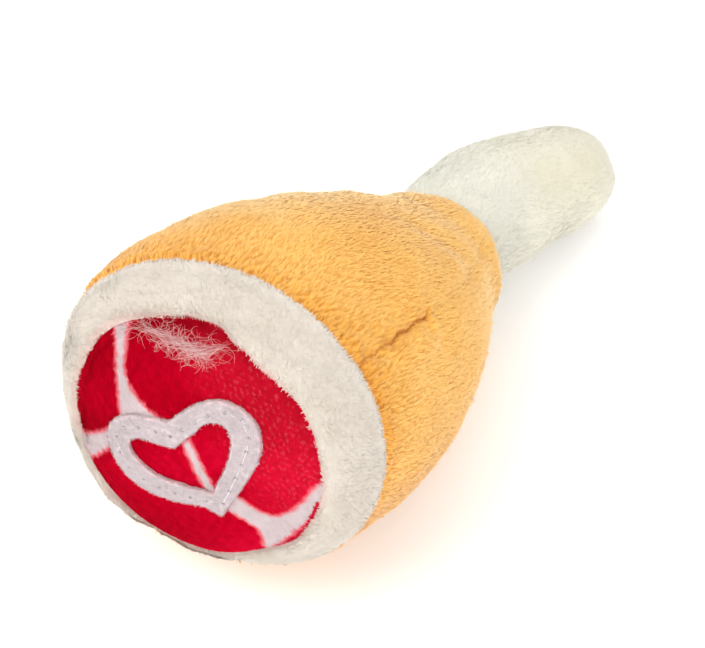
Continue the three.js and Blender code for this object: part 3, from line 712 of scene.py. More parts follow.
ring_row = np.arange(len(ring_rows))[:, None] - len(ring_steps) + np.zeros(len(ring_angles))
ring_marks = np.stack([ring_share, ring_angle, ring_from_meat, np.clip(ring_row + 1, 0, 1)], -1)
roots, away, marks = sown(ring_rows, ham_inside, ring_marks, cream_hairs_per_square, 71, ring_row < 2)
share, angle, from_meat, behind = marks.T
ring_round = -face_aside * np.sin(angle)[:, None] + face_up * np.cos(angle)[:, None]
ring_out = around(face_aside, face_up, angle)
turn = math.pi * (1 - rise(0.5, 5, from_meat)) * (1 - red_over_cream(angle)) + 0.9 * uneven(roots, 7, 72)[0]
over_rim = face_ahead * 0.9 * rise(0.7, 1, share)[:, None]
under_chin = near_angle(angle, -1.07, 1.25)
to_front = ((0.12 + 0.6 * under_chin) * rise(0.85, 0.97, share) * (1 - behind) - 0.5 * behind)[:, None]
away = unit(away * (1 - np.abs(to_front)) - face_ahead * to_front)
ring_hair_lengths = hair_lengths(1.6, len(roots), 74) * (1 - 0.4 * np.abs(to_front[:, 0]))
nap = (ring_out + over_rim) * np.cos(turn)[:, None] + ring_round * np.sin(turn)[:, None]
rubbed_pink = 0.3 * bump(from_meat, 1.1)


def tinged(colour, tinge, amount):
    """A colour with so much of another one over it"""
    return colour * (1 - amount) + tinge * amount


def ring_shade(tones):
    return tinged(mixed(cream_shades, tones), dye(232, 150, 150), rubbed_pink[:, None, None])


# Painted light: the hairs turned over the rim are paler, to lift its shade
ring_tone = cream_tone(roots) + 0.2 * rise(0.85, 0.97, share)
ring_pile = pile_piece("cream_ring_pile", roots, away, nap, ring_hair_lengths, 0.25, 82, 30, ring_tone,
                       ring_shade, soft_tufts(roots, 1.3, 76), 0.03, 0.15, 75)
ring_pile.data.materials.append(cream_pile)
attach(ring_pile, "ham")

# Cut face: meat
# A disc of red velour with a very short pile. The veins of fat are printed on it before it is
# cut, so their edges are a little soft and pink.
face_lean = math.radians(37)


def from_upright(places):
    """Places on the face from upright ones: millimetres to the right and up from the meat's middle"""
    places = np.asarray(places, float)
    right, upward = places[..., 0], places[..., 1]
    return meat_middle + np.stack([
        -right * math.cos(face_lean) + upward * math.sin(face_lean),
        right * math.sin(face_lean) + upward * math.cos(face_lean),
    ], -1)


def to_upright(aside, upward):
    aside, upward = aside - meat_middle[0], upward - meat_middle[1]
    return (
        -aside * math.cos(face_lean) + upward * math.sin(face_lean),
        aside * math.sin(face_lean) + upward * math.cos(face_lean),
    )


def eased(points, steps=6):
    """A drawn line with its corners eased"""
    points = np.array(points, float)
    run = np.concatenate([[0], np.cumsum(np.linalg.norm(np.diff(points, axis=0), axis=1))])
    last = len(points) - 1
    at = np.interp(np.linspace(0, last, last * steps + 1), np.arange(len(points)), run)
    return np.stack([through(run, points[:, 0], at), through(run, points[:, 1], at)], -1)


# Printed veins of fat: both edges of each, as places on the upright face
vein_to_left_lobe = (
    [(-5.9, 33.5), (-7.6, 28.6), (-9.6, 24.2), (-11.1, 19.4), (-13.5, 13.0)],
    [(-1.0, 33.5), (-4.0, 29.1), (-6.7, 23.6), (-6.5, 19.1), (-4.5, 14.6), (-0.5, 9.3)],
)
vein_from_left_rim = (
    [(-33.5, 10.8), (-30.4, 10.4), (-25.7, 10.0), (-20.0, 10.8)],
    [(-33.5, 2.6), (-31.5, 3.3), (-26.8, 4.4), (-21.5, 6.2)],
)
vein_in_heart = (
    [(1.5, 3.0), (0.7, -4.0), (-0.2, -11)],
    [(4.1, 4.0), (3.5, -4.1), (2.9, -12)],
)
vein_from_tip = (
    [(0.5, -15.5), (3.1, -18.1), (5.4, -22.0), (6.5, -25.1), (5.3, -28.5), (3.0, -33)],
    [(6.5, -13.0), (8.2, -15.6), (10.2, -19.4), (12.7, -22.2), (16.8, -22.5), (21.9, -20.8), (29.5, -17.8),
     (33, -22)],
)
red_sliver = [(27, -22.5), (24.2, -23.0), (18.4, -27.9), (12.0, -32.3), (13.2, -33.0), (20.2, -27.4)]


def inside_depth(right, upward, outline):
    """How deep each place lies inside a printed outline, negative outside"""
    line = np.concatenate([outline, outline[:1]])
    distance, _ = line_distance(right, upward, line)
    inside = np.zeros(distance.shape, bool)
    for (x0, y0), (x1, y1) in zip(line[:-1], line[1:]):
        crossed = (y0 > upward) != (y1 > upward)
        inside ^= crossed & (right < x0 + (upward - y0) / np.where(y1 == y0, 1, y1 - y0) * (x1 - x0))
    return np.where(inside, distance, -distance)


vein_outlines = [
    np.concatenate([eased(one), eased(other)[::-1]])
    for one, other in (vein_to_left_lobe, vein_from_left_rim, vein_in_heart, vein_from_tip)
]
meat_red, meat_dark, meat_bright = dye(183, 0, 30), dye(161, 0, 22), dye(205, 6, 45)
# The pink of the print's soft edges, also painted over the pile as highlights
vein_white, print_and_highlight_pink = dye(205, 189, 190), dye(222, 104, 116)


def meat_colour(right, upward, places):
    wobble = 0.22 * uneven(places, 1.1, 81)[0]
    depth = np.max([inside_depth(right, upward, outline) for outline in vein_outlines], axis=0)
    depth = np.where(inside_depth(right, upward, np.array(red_sliver)) > -0.3, -1.0, depth) + wobble
    tone = 0.5 + lumpy(places, (0.18, 10, 82), (0.14, 1.4, 83)) + 0.005 * right - 0.012 * upward
    red = mixed([meat_dark, meat_red, meat_bright], tone)
    # Painted highlights: pink flecks on the pile's hairs and a faint pink haze, towards the right
    highlight_flecks = rise(0.5, 1.0, uneven(places, 0.5, 84)[0]) * rise(6, 24, right) * (1 - rise(12, 26, upward))
    highlight_flecks = highlight_flecks * 0.16 + 0.03 * rise(4, 26, right)
    red = tinged(red, print_and_highlight_pink, highlight_flecks[..., None])
    white = vein_white * (1 + 0.04 * uneven(places, 3, 85)[0][..., None])
    pink_edge = tinged(red, print_and_highlight_pink, rise(-0.8, 0.05, depth)[..., None])
    return tinged(pink_edge, white, rise(-0.1, 1.0, depth)[..., None])


meat_shares = np.concatenate([np.linspace(0.012, 0.9, 110)[:-1], np.linspace(0.9, 1, 16)])
meat_steps, meat_angle = np.meshgrid(meat_shares, np.linspace(0, 2 * math.pi, 481), indexing="ij")
from_edge = meat_edge(meat_angle) * (1 - meat_steps)
meat_steps = meat_edge(meat_angle) - from_edge
meat_aside = meat_middle[0] + meat_steps * np.cos(meat_angle)
meat_upward = meat_middle[1] + meat_steps * np.sin(meat_angle)
meat_plain = face_place(meat_aside, meat_upward)
meat_pressed = 0.5 + 1.4 * bump(from_edge, 1.4) - 0.3 * uneven(meat_plain, 12, 86)[0]
meat_rows = face_place(meat_aside, meat_upward, meat_pressed)
meat_right, meat_up_place = to_upright(meat_aside, meat_upward)
red_backing = plush_finish("red_velour_cloth", 1.0, 0, dye(255, 170, 180), 0.05, 0.8, 0.1, 0.5, shine=0.02)
red_pile = plush_finish("red_velour_pile", 1.0, 0, dye(255, 150, 165), 0.04, 0.8, shine=0.02)
meat_colours = meat_colour(meat_right, meat_up_place, meat_rows)
meat_disc = cloth_piece("meat_disc", meat_rows, ham_inside, meat_colours * 0.92,
                        first_point=face_place(*meat_middle, 0.6))
meat_disc.data.materials.append(red_backing)
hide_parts("meat_panel")
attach(meat_disc, "ham")

meat_hairs_per_square = 17.0
meat_marks = np.stack([meat_right, meat_up_place, meat_angle, from_edge], -1)
roots, away, marks = sown(meat_rows, ham_inside, meat_marks, meat_hairs_per_square, 91)
meat_hair_colour = meat_colour(marks[:, 0], marks[:, 1], roots)
over_edge = (bump(marks[:, 3], 1.6) * red_over_cream(marks[:, 2]))[:, None]
meat_out = around(face_aside, face_up, marks[:, 2])
meat_nap = face_aside * (0.4 * uneven(roots, 10, 92)[0][:, None] - 0.6) - face_up * 0.5
meat_nap = meat_nap * (1 - over_edge) + meat_out * over_edge
longer = 1.9 * over_edge[:, 0] * np.random.default_rng(95).random(len(roots))
meat_hair_lengths = hair_lengths(0.8, len(roots), 93) * (1 + longer)


def velour_shade(tones):
    return np.clip(meat_hair_colour[:, None] * (0.62 + 0.76 * tones)[..., None], 0, 1)


meat_lean = 74 - 34 * over_edge[:, 0]
meat_tone = np.full(len(roots), 0.5)
meat_pile = pile_piece("meat_pile", roots, away, meat_nap, meat_hair_lengths, 0.22, meat_lean, 22, meat_tone,
                       velour_shade, soft_tufts(roots, 0.9, 96), 0.04, 0.2, 94)
meat_pile.data.materials.append(red_pile)
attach(meat_pile, "ham")

# Felt heart
# A heart-shaped band cut from thick off-white wool felt and laid on the meat. One row of stitches
# along the middle of the band holds it, and their needle holes show as small dark dots.
heart_outer_left = [
    (1.1, 9.6), (-3.4, 11.4), (-9.5, 13.7), (-14.9, 13.6), (-18.2, 12.5), (-20.9, 9.6), (-22.3, 5.1),
    (-22.4, 1.0), (-20.6, -4.0), (-16.2, -8.5), (-8.6, -12.7), (-2.8, -15.0), (1.0, -19.1)]
heart_outer_right = [
    (1.1, 9.6), (7.4, 11.2), (13.4, 11.7), (17.7, 10.6), (21.4, 7.4), (23.4, 2.1), (22.2, -3.2),
    (19.5, -6.8), (15.0, -10.3), (9.7, -13.9), (5.5, -16.4), (1.0, -19.1)]
heart_inner_left = [
    (-1.1, 2.2), (-3.9, 3.7), (-6.7, 5.4), (-10.5, 6.9), (-13.5, 6.6), (-14.7, 3.9), (-13.9, 0.8),
    (-12.1, -2.3), (-9.7, -4.7), (-6.2, -6.9), (-2.7, -9.1), (-0.2, -10.5), (2.4, -12.0)]
heart_inner_right = [
    (-1.1, 2.2), (2.5, 3.5), (6.1, 4.6), (10.7, 6.1), (13.2, 5.6), (15.1, 3.6), (15.2, 1.0),
    (13.9, -1.6), (12.2, -3.7), (9.8, -6.1), (7.3, -8.1), (4.8, -10.1), (2.4, -12.0)]
felt_thickness = 0.8
felt_lift = 0.1


def evenly(line, count):
    run = np.concatenate([[0], np.cumsum(np.linalg.norm(np.diff(line, axis=0), axis=1))])
    at = np.linspace(0, run[-1], count)
    return np.stack([np.interp(at, run, line[:, k]) for k in range(line.shape[1])], -1)


def heart_loop(right_half, left_half, lobe_steps=330):
    right, left = evenly(eased(right_half), lobe_steps), evenly(eased(left_half), lobe_steps)
    return np.concatenate([right[:-1], left[::-1]])


outer_loop = heart_loop(heart_outer_right, heart_outer_left)
inner_loop = heart_loop(heart_inner_right, heart_inner_left)
heart_middle, trimmed = np.array([0.5, -3.0]), 0.957
outer_loop = heart_middle + (outer_loop - heart_middle) * trimmed
outer_loop[-1], inner_loop[-1] = outer_loop[0], inner_loop[0]
stitch_loop = (outer_loop + inner_loop) / 2
needle_holes = np.array([
    (-3.9, 7.5), (-0.3, 5.4), (3.6, 6.1), (8.0, 7.1), (12.1, 7.8), (16.8, 7.2), (19.9, 4.3), (19.6, -0.7),
    (17.2, -3.7), (14.3, -6.5), (10.9, -9.4), (7.3, -12.3), (3.6, -15.0), (-0.6, -13.2), (-4.4, -11.4),
    (-8.2, -9.4), (-12.0, -7.0), (-15.5, -4.1), (-18.0, -0.4), (-18.5, 4.0), (-16.9, 8.2), (-13.2, 10.2),
    (-8.5, 9.5)])


def on_meat(places, lift):
    """Places over the meat, given upright, lifted off it by so many millimetres"""
    flat = from_upright(places)
    return face_place(flat[..., 0], flat[..., 1], -np.asarray(lift))


# Rows across the band: up its inner edge, over the felt and down its outer edge
band_columns, rounded_share = 42, 0.085
band_shares = np.concatenate([
    [0.0, 0.0], 0.5 - 0.5 * np.cos(np.linspace(0, math.pi, band_columns)), [1.0, 1.0]])
band_lifts = np.concatenate([[-0.9, 0.2], np.full(band_columns, 1.0), [0.2, -0.9]])
band_edge = np.clip(np.minimum(band_shares, 1 - band_shares) / rounded_share, 0, 1)
band_height = np.where(band_lifts < 0.9, band_lifts, np.sqrt(1 - (1 - band_edge) ** 2) * 0.75 + 0.25)
band_flat = inner_loop[None] + (outer_loop - inner_loop)[None] * band_shares[:, None, None]
to_holes = band_flat[:, :, None] - needle_holes
hole_distance = np.min(np.hypot(to_holes[..., 0], to_holes[..., 1]), -1)
stitch_row = np.concatenate([needle_holes, needle_holes[:1]])
row_distance, _ = line_distance(band_flat[..., 0], band_flat[..., 1], stitch_row)
band_plain = on_meat(band_flat, np.zeros(band_flat.shape[:2]))
band_lift = felt_lift + felt_thickness * band_height[:, None] + 0.12 * uneven(band_plain, 3.5, 101)[0]
band_lift = band_lift - 0.25 * bump(row_distance, 0.8) - 0.6 * bump(hole_distance, 0.4)
ragged = 0.08 * uneven(band_plain, 0.9, 102)[0] * (band_edge < 1)[:, None]
band_flat = band_flat + unit(band_flat - stitch_loop) * ragged[..., None]
band_rows = on_meat(band_flat, band_lift)
felt_shades = [dye(162, 148, 151), dye(187, 174, 177), dye(198, 185, 187), dye(210, 198, 200)]
felt_finish = plush_finish("wool_felt", 0.97, 0.25, (1, 0.98, 1), 0.05, 0.35, 0.25, 0.35)
# Painted light: the band's rounded edges are paler, to lift their shade
felt_tone = 0.6 + lumpy(band_plain, (0.14, 0.8, 103), (0.08, 5, 104)) + 0.1 * (1 - band_edge)[:, None]
# Painted shade in the needle holes, as small dark dots
hole_shade = bump(hole_distance, 0.42)[..., None]
felt_colours = mixed(felt_shades, felt_tone) * (1 - 0.75 * hole_shade)
# Painted light: the side walls are painted pale pink, to lift their shade
felt_colours = tinged(felt_colours, dye(244, 196, 198), 0.7 * (1 - band_edge)[:, None, None])
felt_band = cloth_piece("felt_heart_band", band_rows, ham_inside, felt_colours)
felt_band.data.materials.append(felt_finish)
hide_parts("felt_heart")
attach(felt_band, "ham")

felt_fibres_per_square = 11.0
band_marks = np.stack([hole_distance, felt_tone], -1)
no_holes = rise(0.3, 0.9, hole_distance)
roots, away, marks = sown(band_rows, ham_inside, band_marks, felt_fibres_per_square, 111, no_holes)
chance = np.random.default_rng(112)
felt_nap = np.cross(away, unit(chance.normal(size=roots.shape)))
felt_nap = felt_nap + 0.6 * unit(uneven(roots, 2, 113)[1])
fuzz_lengths = hair_lengths(1.0, len(roots), 114) * np.clip(marks[:, 0] / 1.4, 0.25, 1)
felt_fuzz = pile_piece("felt_heart_fuzz", roots, away, felt_nap, fuzz_lengths, 0.13, 78, 60, marks[:, 1],
                       felt_shades, soft_tufts(roots, 0.7, 116), 0.1, 0.5, 115)
felt_fuzz.data.materials.append(felt_finish)
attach(felt_fuzz, "ham")

# Stitches of the heart
# White polyester thread, two plies twisted together. Each stitch dips into its two needle holes
# and draws the felt down a little between them.


def tubes(name, paths, lift, side, radius, tints, sides):
    """One piece of thin tubes round paths of close places. Lift and side are the two ways across."""
    count, steps = paths.shape[:2]
    turns = np.linspace(0, 2 * math.pi, sides, endpoint=False)[:, None]
    rings = lift[:, :, None] * np.cos(turns) + side[:, :, None] * np.sin(turns)
    rings = paths[:, :, None] + rings * radius
    index = np.arange(count * steps * sides).reshape(count, steps, sides)
    grid = np.meshgrid(np.arange(count), np.arange(steps - 1), np.arange(sides), indexing="ij")
    tube, step, j = (a.ravel() for a in grid)
    square = ((0, 0), (0, 1), (1, 1), (1, 0))
    corners = np.stack([index[tube, step + a, (j + b) % sides] for a, b in square], 1)
    cells = math.ceil(math.sqrt(count))
    cell = np.stack([tube % cells, tube // cells], -1)
    patches = np.stack([cell + 0.05 + 0.9 * np.stack([(j + b) / sides, (step + a) / (steps - 1)], -1)
                        for a, b in square], 1) / cells
    tints = np.broadcast_to(tints, rings.shape)
    return add_piece(name, set_down(rings.reshape(-1, 3)), corners.ravel(), np.arange(len(corners)) * 4,
                     patches.reshape(-1, 2), tints.reshape(-1, 3))


def spun_thread(name, paths, radius, tint, twist=1.5):
    """Two plies twisted round each path. The paths are lines of close places in millimetres."""
    paths = np.repeat(np.array(paths), 2, axis=0)
    ahead = unit(np.gradient(paths, axis=1))
    lift = unit(np.cross(ahead, np.roll(ahead, 1, axis=2) + np.array([0.3, 0.1, 0.9])))
    side = np.cross(ahead, lift)
    run = np.cumsum(np.linalg.norm(np.diff(paths, axis=1), axis=2), axis=1)
    run = np.concatenate([np.zeros((len(paths), 1)), run], 1)
    ply = np.arange(len(paths))[:, None] % 2 * math.pi
    turn = (run / twist * 2 * math.pi + ply)[..., None]
    plies = paths + (lift * np.cos(turn) + side * np.sin(turn)) * radius * 0.48
    tints = (1 + 0.08 * np.cos(turn * 2)) * tint
    return tubes(name, plies, lift, side, radius * 0.56, tints[:, :, None], 6)


def thread_finish(name, sheen_colour):
    return plush_finish(name, 0.55, 0.15, sheen_colour, 0.06, 0.2, 0.06, 0.12)


pale_thread = thread_finish("pale_polyester_thread", (1, 1, 1))
golden_thread = thread_finish("golden_polyester_thread", dye(255, 220, 160))
hole_lift = felt_lift + felt_thickness


def heart_stitch(start, end):
    """A stitch from hole to hole. Those on the heart's left half are drawn in a little deeper."""
    share = np.linspace(0.02, 0.98, 16)[:, None]
    flat = start + (end - start) * share
    arch = np.sin(share[:, 0] * math.pi) ** 0.5
    sunk = 0.8 + 0.12 * (flat[:, 0].mean() < 2)
    return on_meat(flat, hole_lift - sunk + 0.56 * arch)


stitch_paths = [heart_stitch(start, end) for start, end in zip(stitch_row[:-1], stitch_row[1:])]
heart_stitches = spun_thread("heart_stitches", stitch_paths, 0.15, dye(228, 224, 226), twist=0.9)
heart_stitches.data.materials.append(pale_thread)
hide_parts("heart_stitching")
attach(heart_stitches, "ham")

# Wisp of loose fibre
# A pinch of shed fibre from the cream plush, rubbed pink by the red velour. It is tangled along
# the upper edge of the meat and only lies on it.
wisp_line = [
    (-3.7, 33.0), (4.6, 31.0), (8.1, 28.2), (11.2, 25.8), (14.2, 23.7), (17.2, 21.9), (20.7, 21.6),
    (24.8, 20.4)]
wisp_strands, strand_steps, strand_step, strand_radius = 240, 30, 0.29, 0.024
chance = np.random.default_rng(121)
spine_steps = 199
spine = evenly(eased(wisp_line, 10), spine_steps + 1)
spine_ahead = unit(np.gradient(spine, axis=0))
starts_at = (chance.beta(2.3, 1.7, wisp_strands) * spine_steps).astype(int)
strayed = np.where(chance.random(wisp_strands) < 0.12, 1.8, 0.45) * (0.35 + 0.65 * rise(0, 70, starts_at))
begin = spine[starts_at] + chance.normal(0, 1, (wisp_strands, 2)) * strayed[:, None]
heading = np.arctan2(spine_ahead[starts_at, 1], spine_ahead[starts_at, 0])
heading = heading + chance.normal(0, 0.3, wisp_strands)
heading = heading + math.pi * (chance.random(wisp_strands) < starts_at / spine_steps)
curl = chance.normal(0, 0.03, wisp_strands)
strand = [begin]
for step in range(strand_steps - 1):
    curl = curl * 0.9 + chance.normal(0, 0.035, wisp_strands)
    heading = heading + curl
    place = strand[-1] + strand_step * np.stack([np.cos(heading), np.sin(heading)], -1)
    nearest = spine[np.argmin(np.linalg.norm(place[:, None] - spine[None], axis=-1), axis=1)]
    strand.append(place + (nearest - place) * 0.03)
strand = np.stack(strand, 1)
strand_places = np.linspace(0, 1, strand_steps) * math.pi
wisp_height = -0.05 + 0.5 * chance.random((wisp_strands, 1))
waves, phase = chance.uniform(1, 3, (wisp_strands, 1)), chance.uniform(0, 6, (wisp_strands, 1))
wisp_paths = on_meat(strand, wisp_height + 0.25 * np.sin(strand_places * waves + phase))
wisp_ahead = unit(np.gradient(wisp_paths, axis=1))
wisp_lift = unit(np.cross(wisp_ahead, np.array([0.2, 0.5, 0.8])))
thinned = strand_radius * (0.35 + 0.65 * np.sin(np.linspace(0.04, 0.96, strand_steps) * math.pi))
wisp_tints = tinged(dye(246, 226, 220), dye(234, 170, 172), chance.random((wisp_strands, 1)))
wisp = tubes("fibre_wisp", wisp_paths, wisp_lift, np.cross(wisp_ahead, wisp_lift), thinned[:, None, None],
             wisp_tints[:, None, None], 3)
wisp.data.materials.append(plush_finish("loose_fibre", 0.7, 0.3, (1, 0.95, 0.95), 0.05, 0.5))
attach(wisp, "ham")

# Bone
# Two panels of cream plush sewn together along both edges and round the end, which spreads into
# two low knobs with a notch between them. It is stuffed softer than the ham and set in its neck.
bone_length = 76.5
bone_bend, bone_droop = 19.8, 14.7
bone_radius, bone_end_radius = 19.3, 15.2
bone_notch, bone_knob_width = 3.2, 6.5
bone_seam = math.radians(227.5)
bone_pile_depth = 0.3
bone_bent = -bone_bend * neck_aside - bone_droop * neck_up
bone_handles = np.array([
    neck_centre,
    neck_centre + neck_ahead * bone_length / 3,
    neck_centre + neck_ahead * 2 * bone_length / 3 + 0.75 * bone_bent,
    neck_centre + neck_ahead * bone_length + bone_bent,
])
bone_cap_start = 0.7
bone_valley_way, bone_flat_way, bone_kinks_way = math.radians(136), math.radians(212), math.radians(222)


def bone_surface(station, cap, angle, pulled=0):
    """A place on the bone at a share of its length and, past the start of its end, a share of that end"""
    place = station + cap * (1 - station - bone_pile_depth / bone_length)
    shaft = through([-0.1, 0.0, 0.06, 0.14, 0.2, 0.3, 0.45, 0.6, 0.7, 1],
                    [0.7, 0.86, 0.93, 0.98, 1.0, 0.98, 0.75, 0.45, 0.25, 0], place)
    end = through([-0.1, 0.3, 0.45, 0.6, 0.7, 1], [0, 0, 0.25, 0.55, 0.75, 1], place)
    centre, ahead, aside, up = along_line(bone_handles, np.maximum(place, 0))
    centre = centre + ahead * np.minimum(place, 0)[..., None] * bone_length
    spread = rise(0.2, bone_cap_start, place)
    closing = np.maximum(1 - cap ** 1.85, 0) ** 0.56
    round_bone = bone_seam + angle
    away = around(aside, up, round_bone)
    radius = (shaft * bone_radius + end * bone_end_radius) * closing
    radius = radius * (1 - 0.06 * rise(0.3, 0.6, place) * np.cos(round_bone - bone_flat_way) ** 2)
    plain = centre + away * radius[..., None]
    swell = spread * (0.07 * np.cos(angle) ** 2 - 0.06 * np.sin(angle) ** 6)
    off_seam = np.minimum(np.abs(np.sin(angle / 2)), np.abs(np.cos(angle / 2))) * 2
    seam_pull = rise(0.16, 0.3, place) * 1.1 * bump(off_seam * np.maximum(radius, 4), 1.2)
    valley = 1.3 * near_angle(round_bone, bone_valley_way, 0.32)
    valley = valley * rise(0.14, 0.3, place) * (1 - rise(0.55, 0.8, place))
    kinks = 0.5 * bump(place - 0.34, 0.04) + 0.5 * bump(place - 0.5, 0.05) + 0.6 * bump(place - 0.8, 0.04)
    kinks = kinks * near_angle(round_bone, bone_kinks_way, 0.35)
    lumps = lumpy(plain, (0.4, 15, 131), (0.1, 5, 132))
    lift = (lumps - valley - seam_pull - kinks) * closing - bone_pile_depth - pulled
    reach = np.maximum(radius * (1 + swell) + lift * (closing > 0), 0)
    across = reach * np.cos(angle) / bone_knob_width
    notch = bone_notch * cap ** 2.4 * np.exp(-across ** 2)
    return centre + away * reach[..., None] - ahead * notch[..., None], place


bone_stations = np.concatenate([np.linspace(-0.1, 0.14, 24)[:-1], np.linspace(0.14, bone_cap_start, 110)])
bone_caps = 1 - (1 - np.linspace(0, 1, 62)[1:-1]) ** 1.8
station_line = np.concatenate([bone_stations, np.full(len(bone_caps), bone_cap_start)])
cap_line = np.concatenate([np.zeros(len(bone_stations)), bone_caps])
bone_angles = np.linspace(0, 2 * math.pi, 241)
station_rows, bone_angle_rows = np.meshgrid(station_line, bone_angles, indexing="ij")
cap_rows = np.repeat(cap_line[:, None], len(bone_angles), 1)
bone_rows, bone_places = bone_surface(station_rows, cap_rows, bone_angle_rows)
bone_middle = along_line(bone_handles, np.array(0.5))[0]
bone_shades = [dye(204, 202, 185), dye(223, 220, 206), dye(235, 232, 217), dye(244, 242, 232)]
bone_backing = plush_finish("bone_backing_cloth", 0.95, 0.2, (1, 1, 0.95), 0.05, 0.8, 0.3, 0.6)
bone_pile_finish = plush_finish("bone_pile", 0.9, 0.3, (1, 1, 0.95), 0.03, 1.2)


def bone_colour(tones, place, angle):
    """Cream with painted shade, which makes it a little yellow in the shallow valley and greyer on the ham's
    side
    """
    # Painted shade: yellower and darker in the shallow valley
    yellow = 0.6 * near_angle(bone_seam + angle, bone_valley_way, 0.8)
    yellow = (yellow * rise(0.25, 0.45, place) * (1 - rise(0.7, 0.95, place)))[..., None]
    # Painted shade near the collar: greyer towards the ham
    collar_shade = (1 - rise(0.1, 0.45, place))[..., None]
    warm = rise(0.75, 0.98, place)[..., None]
    tint = 1 - yellow * np.array([0, 0.03, 0.15])
    tint = tint * (1 - collar_shade * np.array([0.06, 0.045, 0.03]) - warm * np.array([0, 0.02, 0.0]))
    colour = mixed(bone_shades, tones)
    return colour * tint.reshape(place.shape + (1,) * (colour.ndim - tint.ndim) + (3,))


def bone_tone(places):
    return 0.62 + lumpy(places, (0.06, 12, 133), (0.03, 3, 134))


bone_tip = along_line(bone_handles, np.array(1 - bone_pile_depth / bone_length))
bone_cover_colours = bone_colour(bone_tone(bone_rows) - 0.03, bone_places, bone_angle_rows)
bone_cover = cloth_piece("bone_cover", bone_rows, bone_middle, bone_cover_colours,
                         last_point=bone_tip[0] - bone_tip[1] * bone_notch)
bone_cover.data.materials.append(bone_backing)
bone_bend_start = set_down(neck_centre)
bone_bend_end = set_down(neck_centre + 20 * neck_ahead)
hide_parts("bone_panel_top", "bone_panel_bottom")
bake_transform(bone_cover)

bone_hairs_per_square = 7.4
bone_marks = np.stack([bone_places, bone_angle_rows], -1)
out_of_neck = bone_places > -0.03
roots, away, marks = sown(bone_rows, bone_middle, bone_marks, bone_hairs_per_square, 141, out_of_neck)
_, ahead, _, _ = along_line(bone_handles, np.clip(marks[:, 0], 0, 1))
bone_nap = ahead + 0.35 * unit(uneven(roots, 12, 142)[1])


def bone_shade(tones):
    return bone_colour(tones, marks[:, 0], marks[:, 1])


bone_pile = pile_piece("bone_pile", roots, away, bone_nap, hair_lengths(1.9, len(roots), 143), 0.28, 83, 14,
                       bone_tone(roots), bone_shade, soft_tufts(roots, 1.0, 145), 0.01, 0.08, 144)
bone_pile.data.materials.append(bone_pile_finish)
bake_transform(bone_pile)

# Seam threads
# Polyester thread, golden in the cover and pale in the cream plush. Machine seams lie deep in
# their valleys under the pile, and the far side seam's middle is closed by hand from outside.


def seam_path(angle, start, end, sink, sway=0.0, sway_length=2.5):
    run = np.arange(start * ham_length, end * ham_length, 0.3)
    places = ham_surface(run / ham_length, np.full(len(run), angle), sink)
    across = unit(ham_surface(run / ham_length, np.full(len(run), angle + 0.01), sink) - places)
    return places + across * (sway * np.sin(run / sway_length * math.pi))[:, None]


def add_seam(node, path, radius, yarn):
    """The thread of a seam that a CAD node holds, spun from yarn of one tint and finish"""
    tint, finish, slot_name = yarn
    thread = spun_thread(node + "_spun", [path], radius, tint)
    thread.data.materials.append(finish)
    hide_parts(node)
    return thread


golden_yarn = (dye(206, 146, 70), golden_thread, "golden_thread")
pale_yarn = (dye(226, 220, 204), pale_thread, "pale_thread")
yarn_radius, fine_yarn_radius = 0.3, 0.25
thread_end = 1 - 9 / ham_length
for node, angle, start, end, sink, sway, yarn in (
    ("side_thread_near", near_seam, 0.014, thread_end, 0.1, 0, golden_yarn),
    ("side_thread_far_front", far_seam, 0.014, 0.336, 0.1, 0, golden_yarn),
    ("closing_stitch", far_seam, 0.34, 0.74, -0.5, 0.5, pale_yarn),
    ("side_thread_far_rear", far_seam, 0.744, thread_end, 0.1, 0, golden_yarn),
):
    thread = add_seam(node, seam_path(angle, start, end, sink, sway), yarn_radius, yarn)
    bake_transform(thread)

loop_angles = np.linspace(0, 2 * math.pi, 900)
seam_inset = 3.6 + less_full(loop_angles)
face_seam_path = face_ahead * 0.35 + around(
    face_aside, face_up, loop_angles, face_half_width - seam_inset, face_half_height - seam_inset)
face_seam = add_seam("face_seam_thread", face_seam_path, yarn_radius, golden_yarn)
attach(face_seam, "ham")

loop_pointing = np.stack([np.cos(loop_angles), np.sin(loop_angles)], -1)
meat_seam_flat = meat_middle + (meat_edge(loop_angles) + 0.1)[:, None] * loop_pointing
meat_seam_path = face_place(meat_seam_flat[:, 0], meat_seam_flat[:, 1], 1.9)
meat_seam = add_seam("meat_seam_thread", meat_seam_path, yarn_radius, pale_yarn)
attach(meat_seam, "ham")

neck_seam_radius = 16.45
neck_seam_path = neck_centre + around(neck_aside, neck_up, loop_angles, neck_seam_radius, neck_seam_radius)
neck_seam = add_seam("neck_seam_thread", neck_seam_path, fine_yarn_radius, pale_yarn)
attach(neck_seam, "collar")

shaft_stations = np.linspace(0.3, bone_cap_start, 100)
seam_caps = np.concatenate([np.zeros(len(shaft_stations)), bone_caps[:-1]])
seam_stations = np.concatenate([shaft_stations, np.full(len(bone_caps) - 1, bone_cap_start)])
first_half, second_half = (
    bone_surface(seam_stations, seam_caps, np.full(len(seam_caps), angle), 0.1)[0]
    for angle in (0.0, math.pi))
bone_seam_path = evenly(np.concatenate([first_half, second_half[::-1]]), 420)
bone_thread = add_seam("bone_seam_thread", bone_seam_path, yarn_radius, pale_yarn)
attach(bone_thread, "bone")

# Filling
# Loose white polyester fibre, torn into lumps and pushed in by hand above and below the squeaker,
# and a smaller lump in the bone.


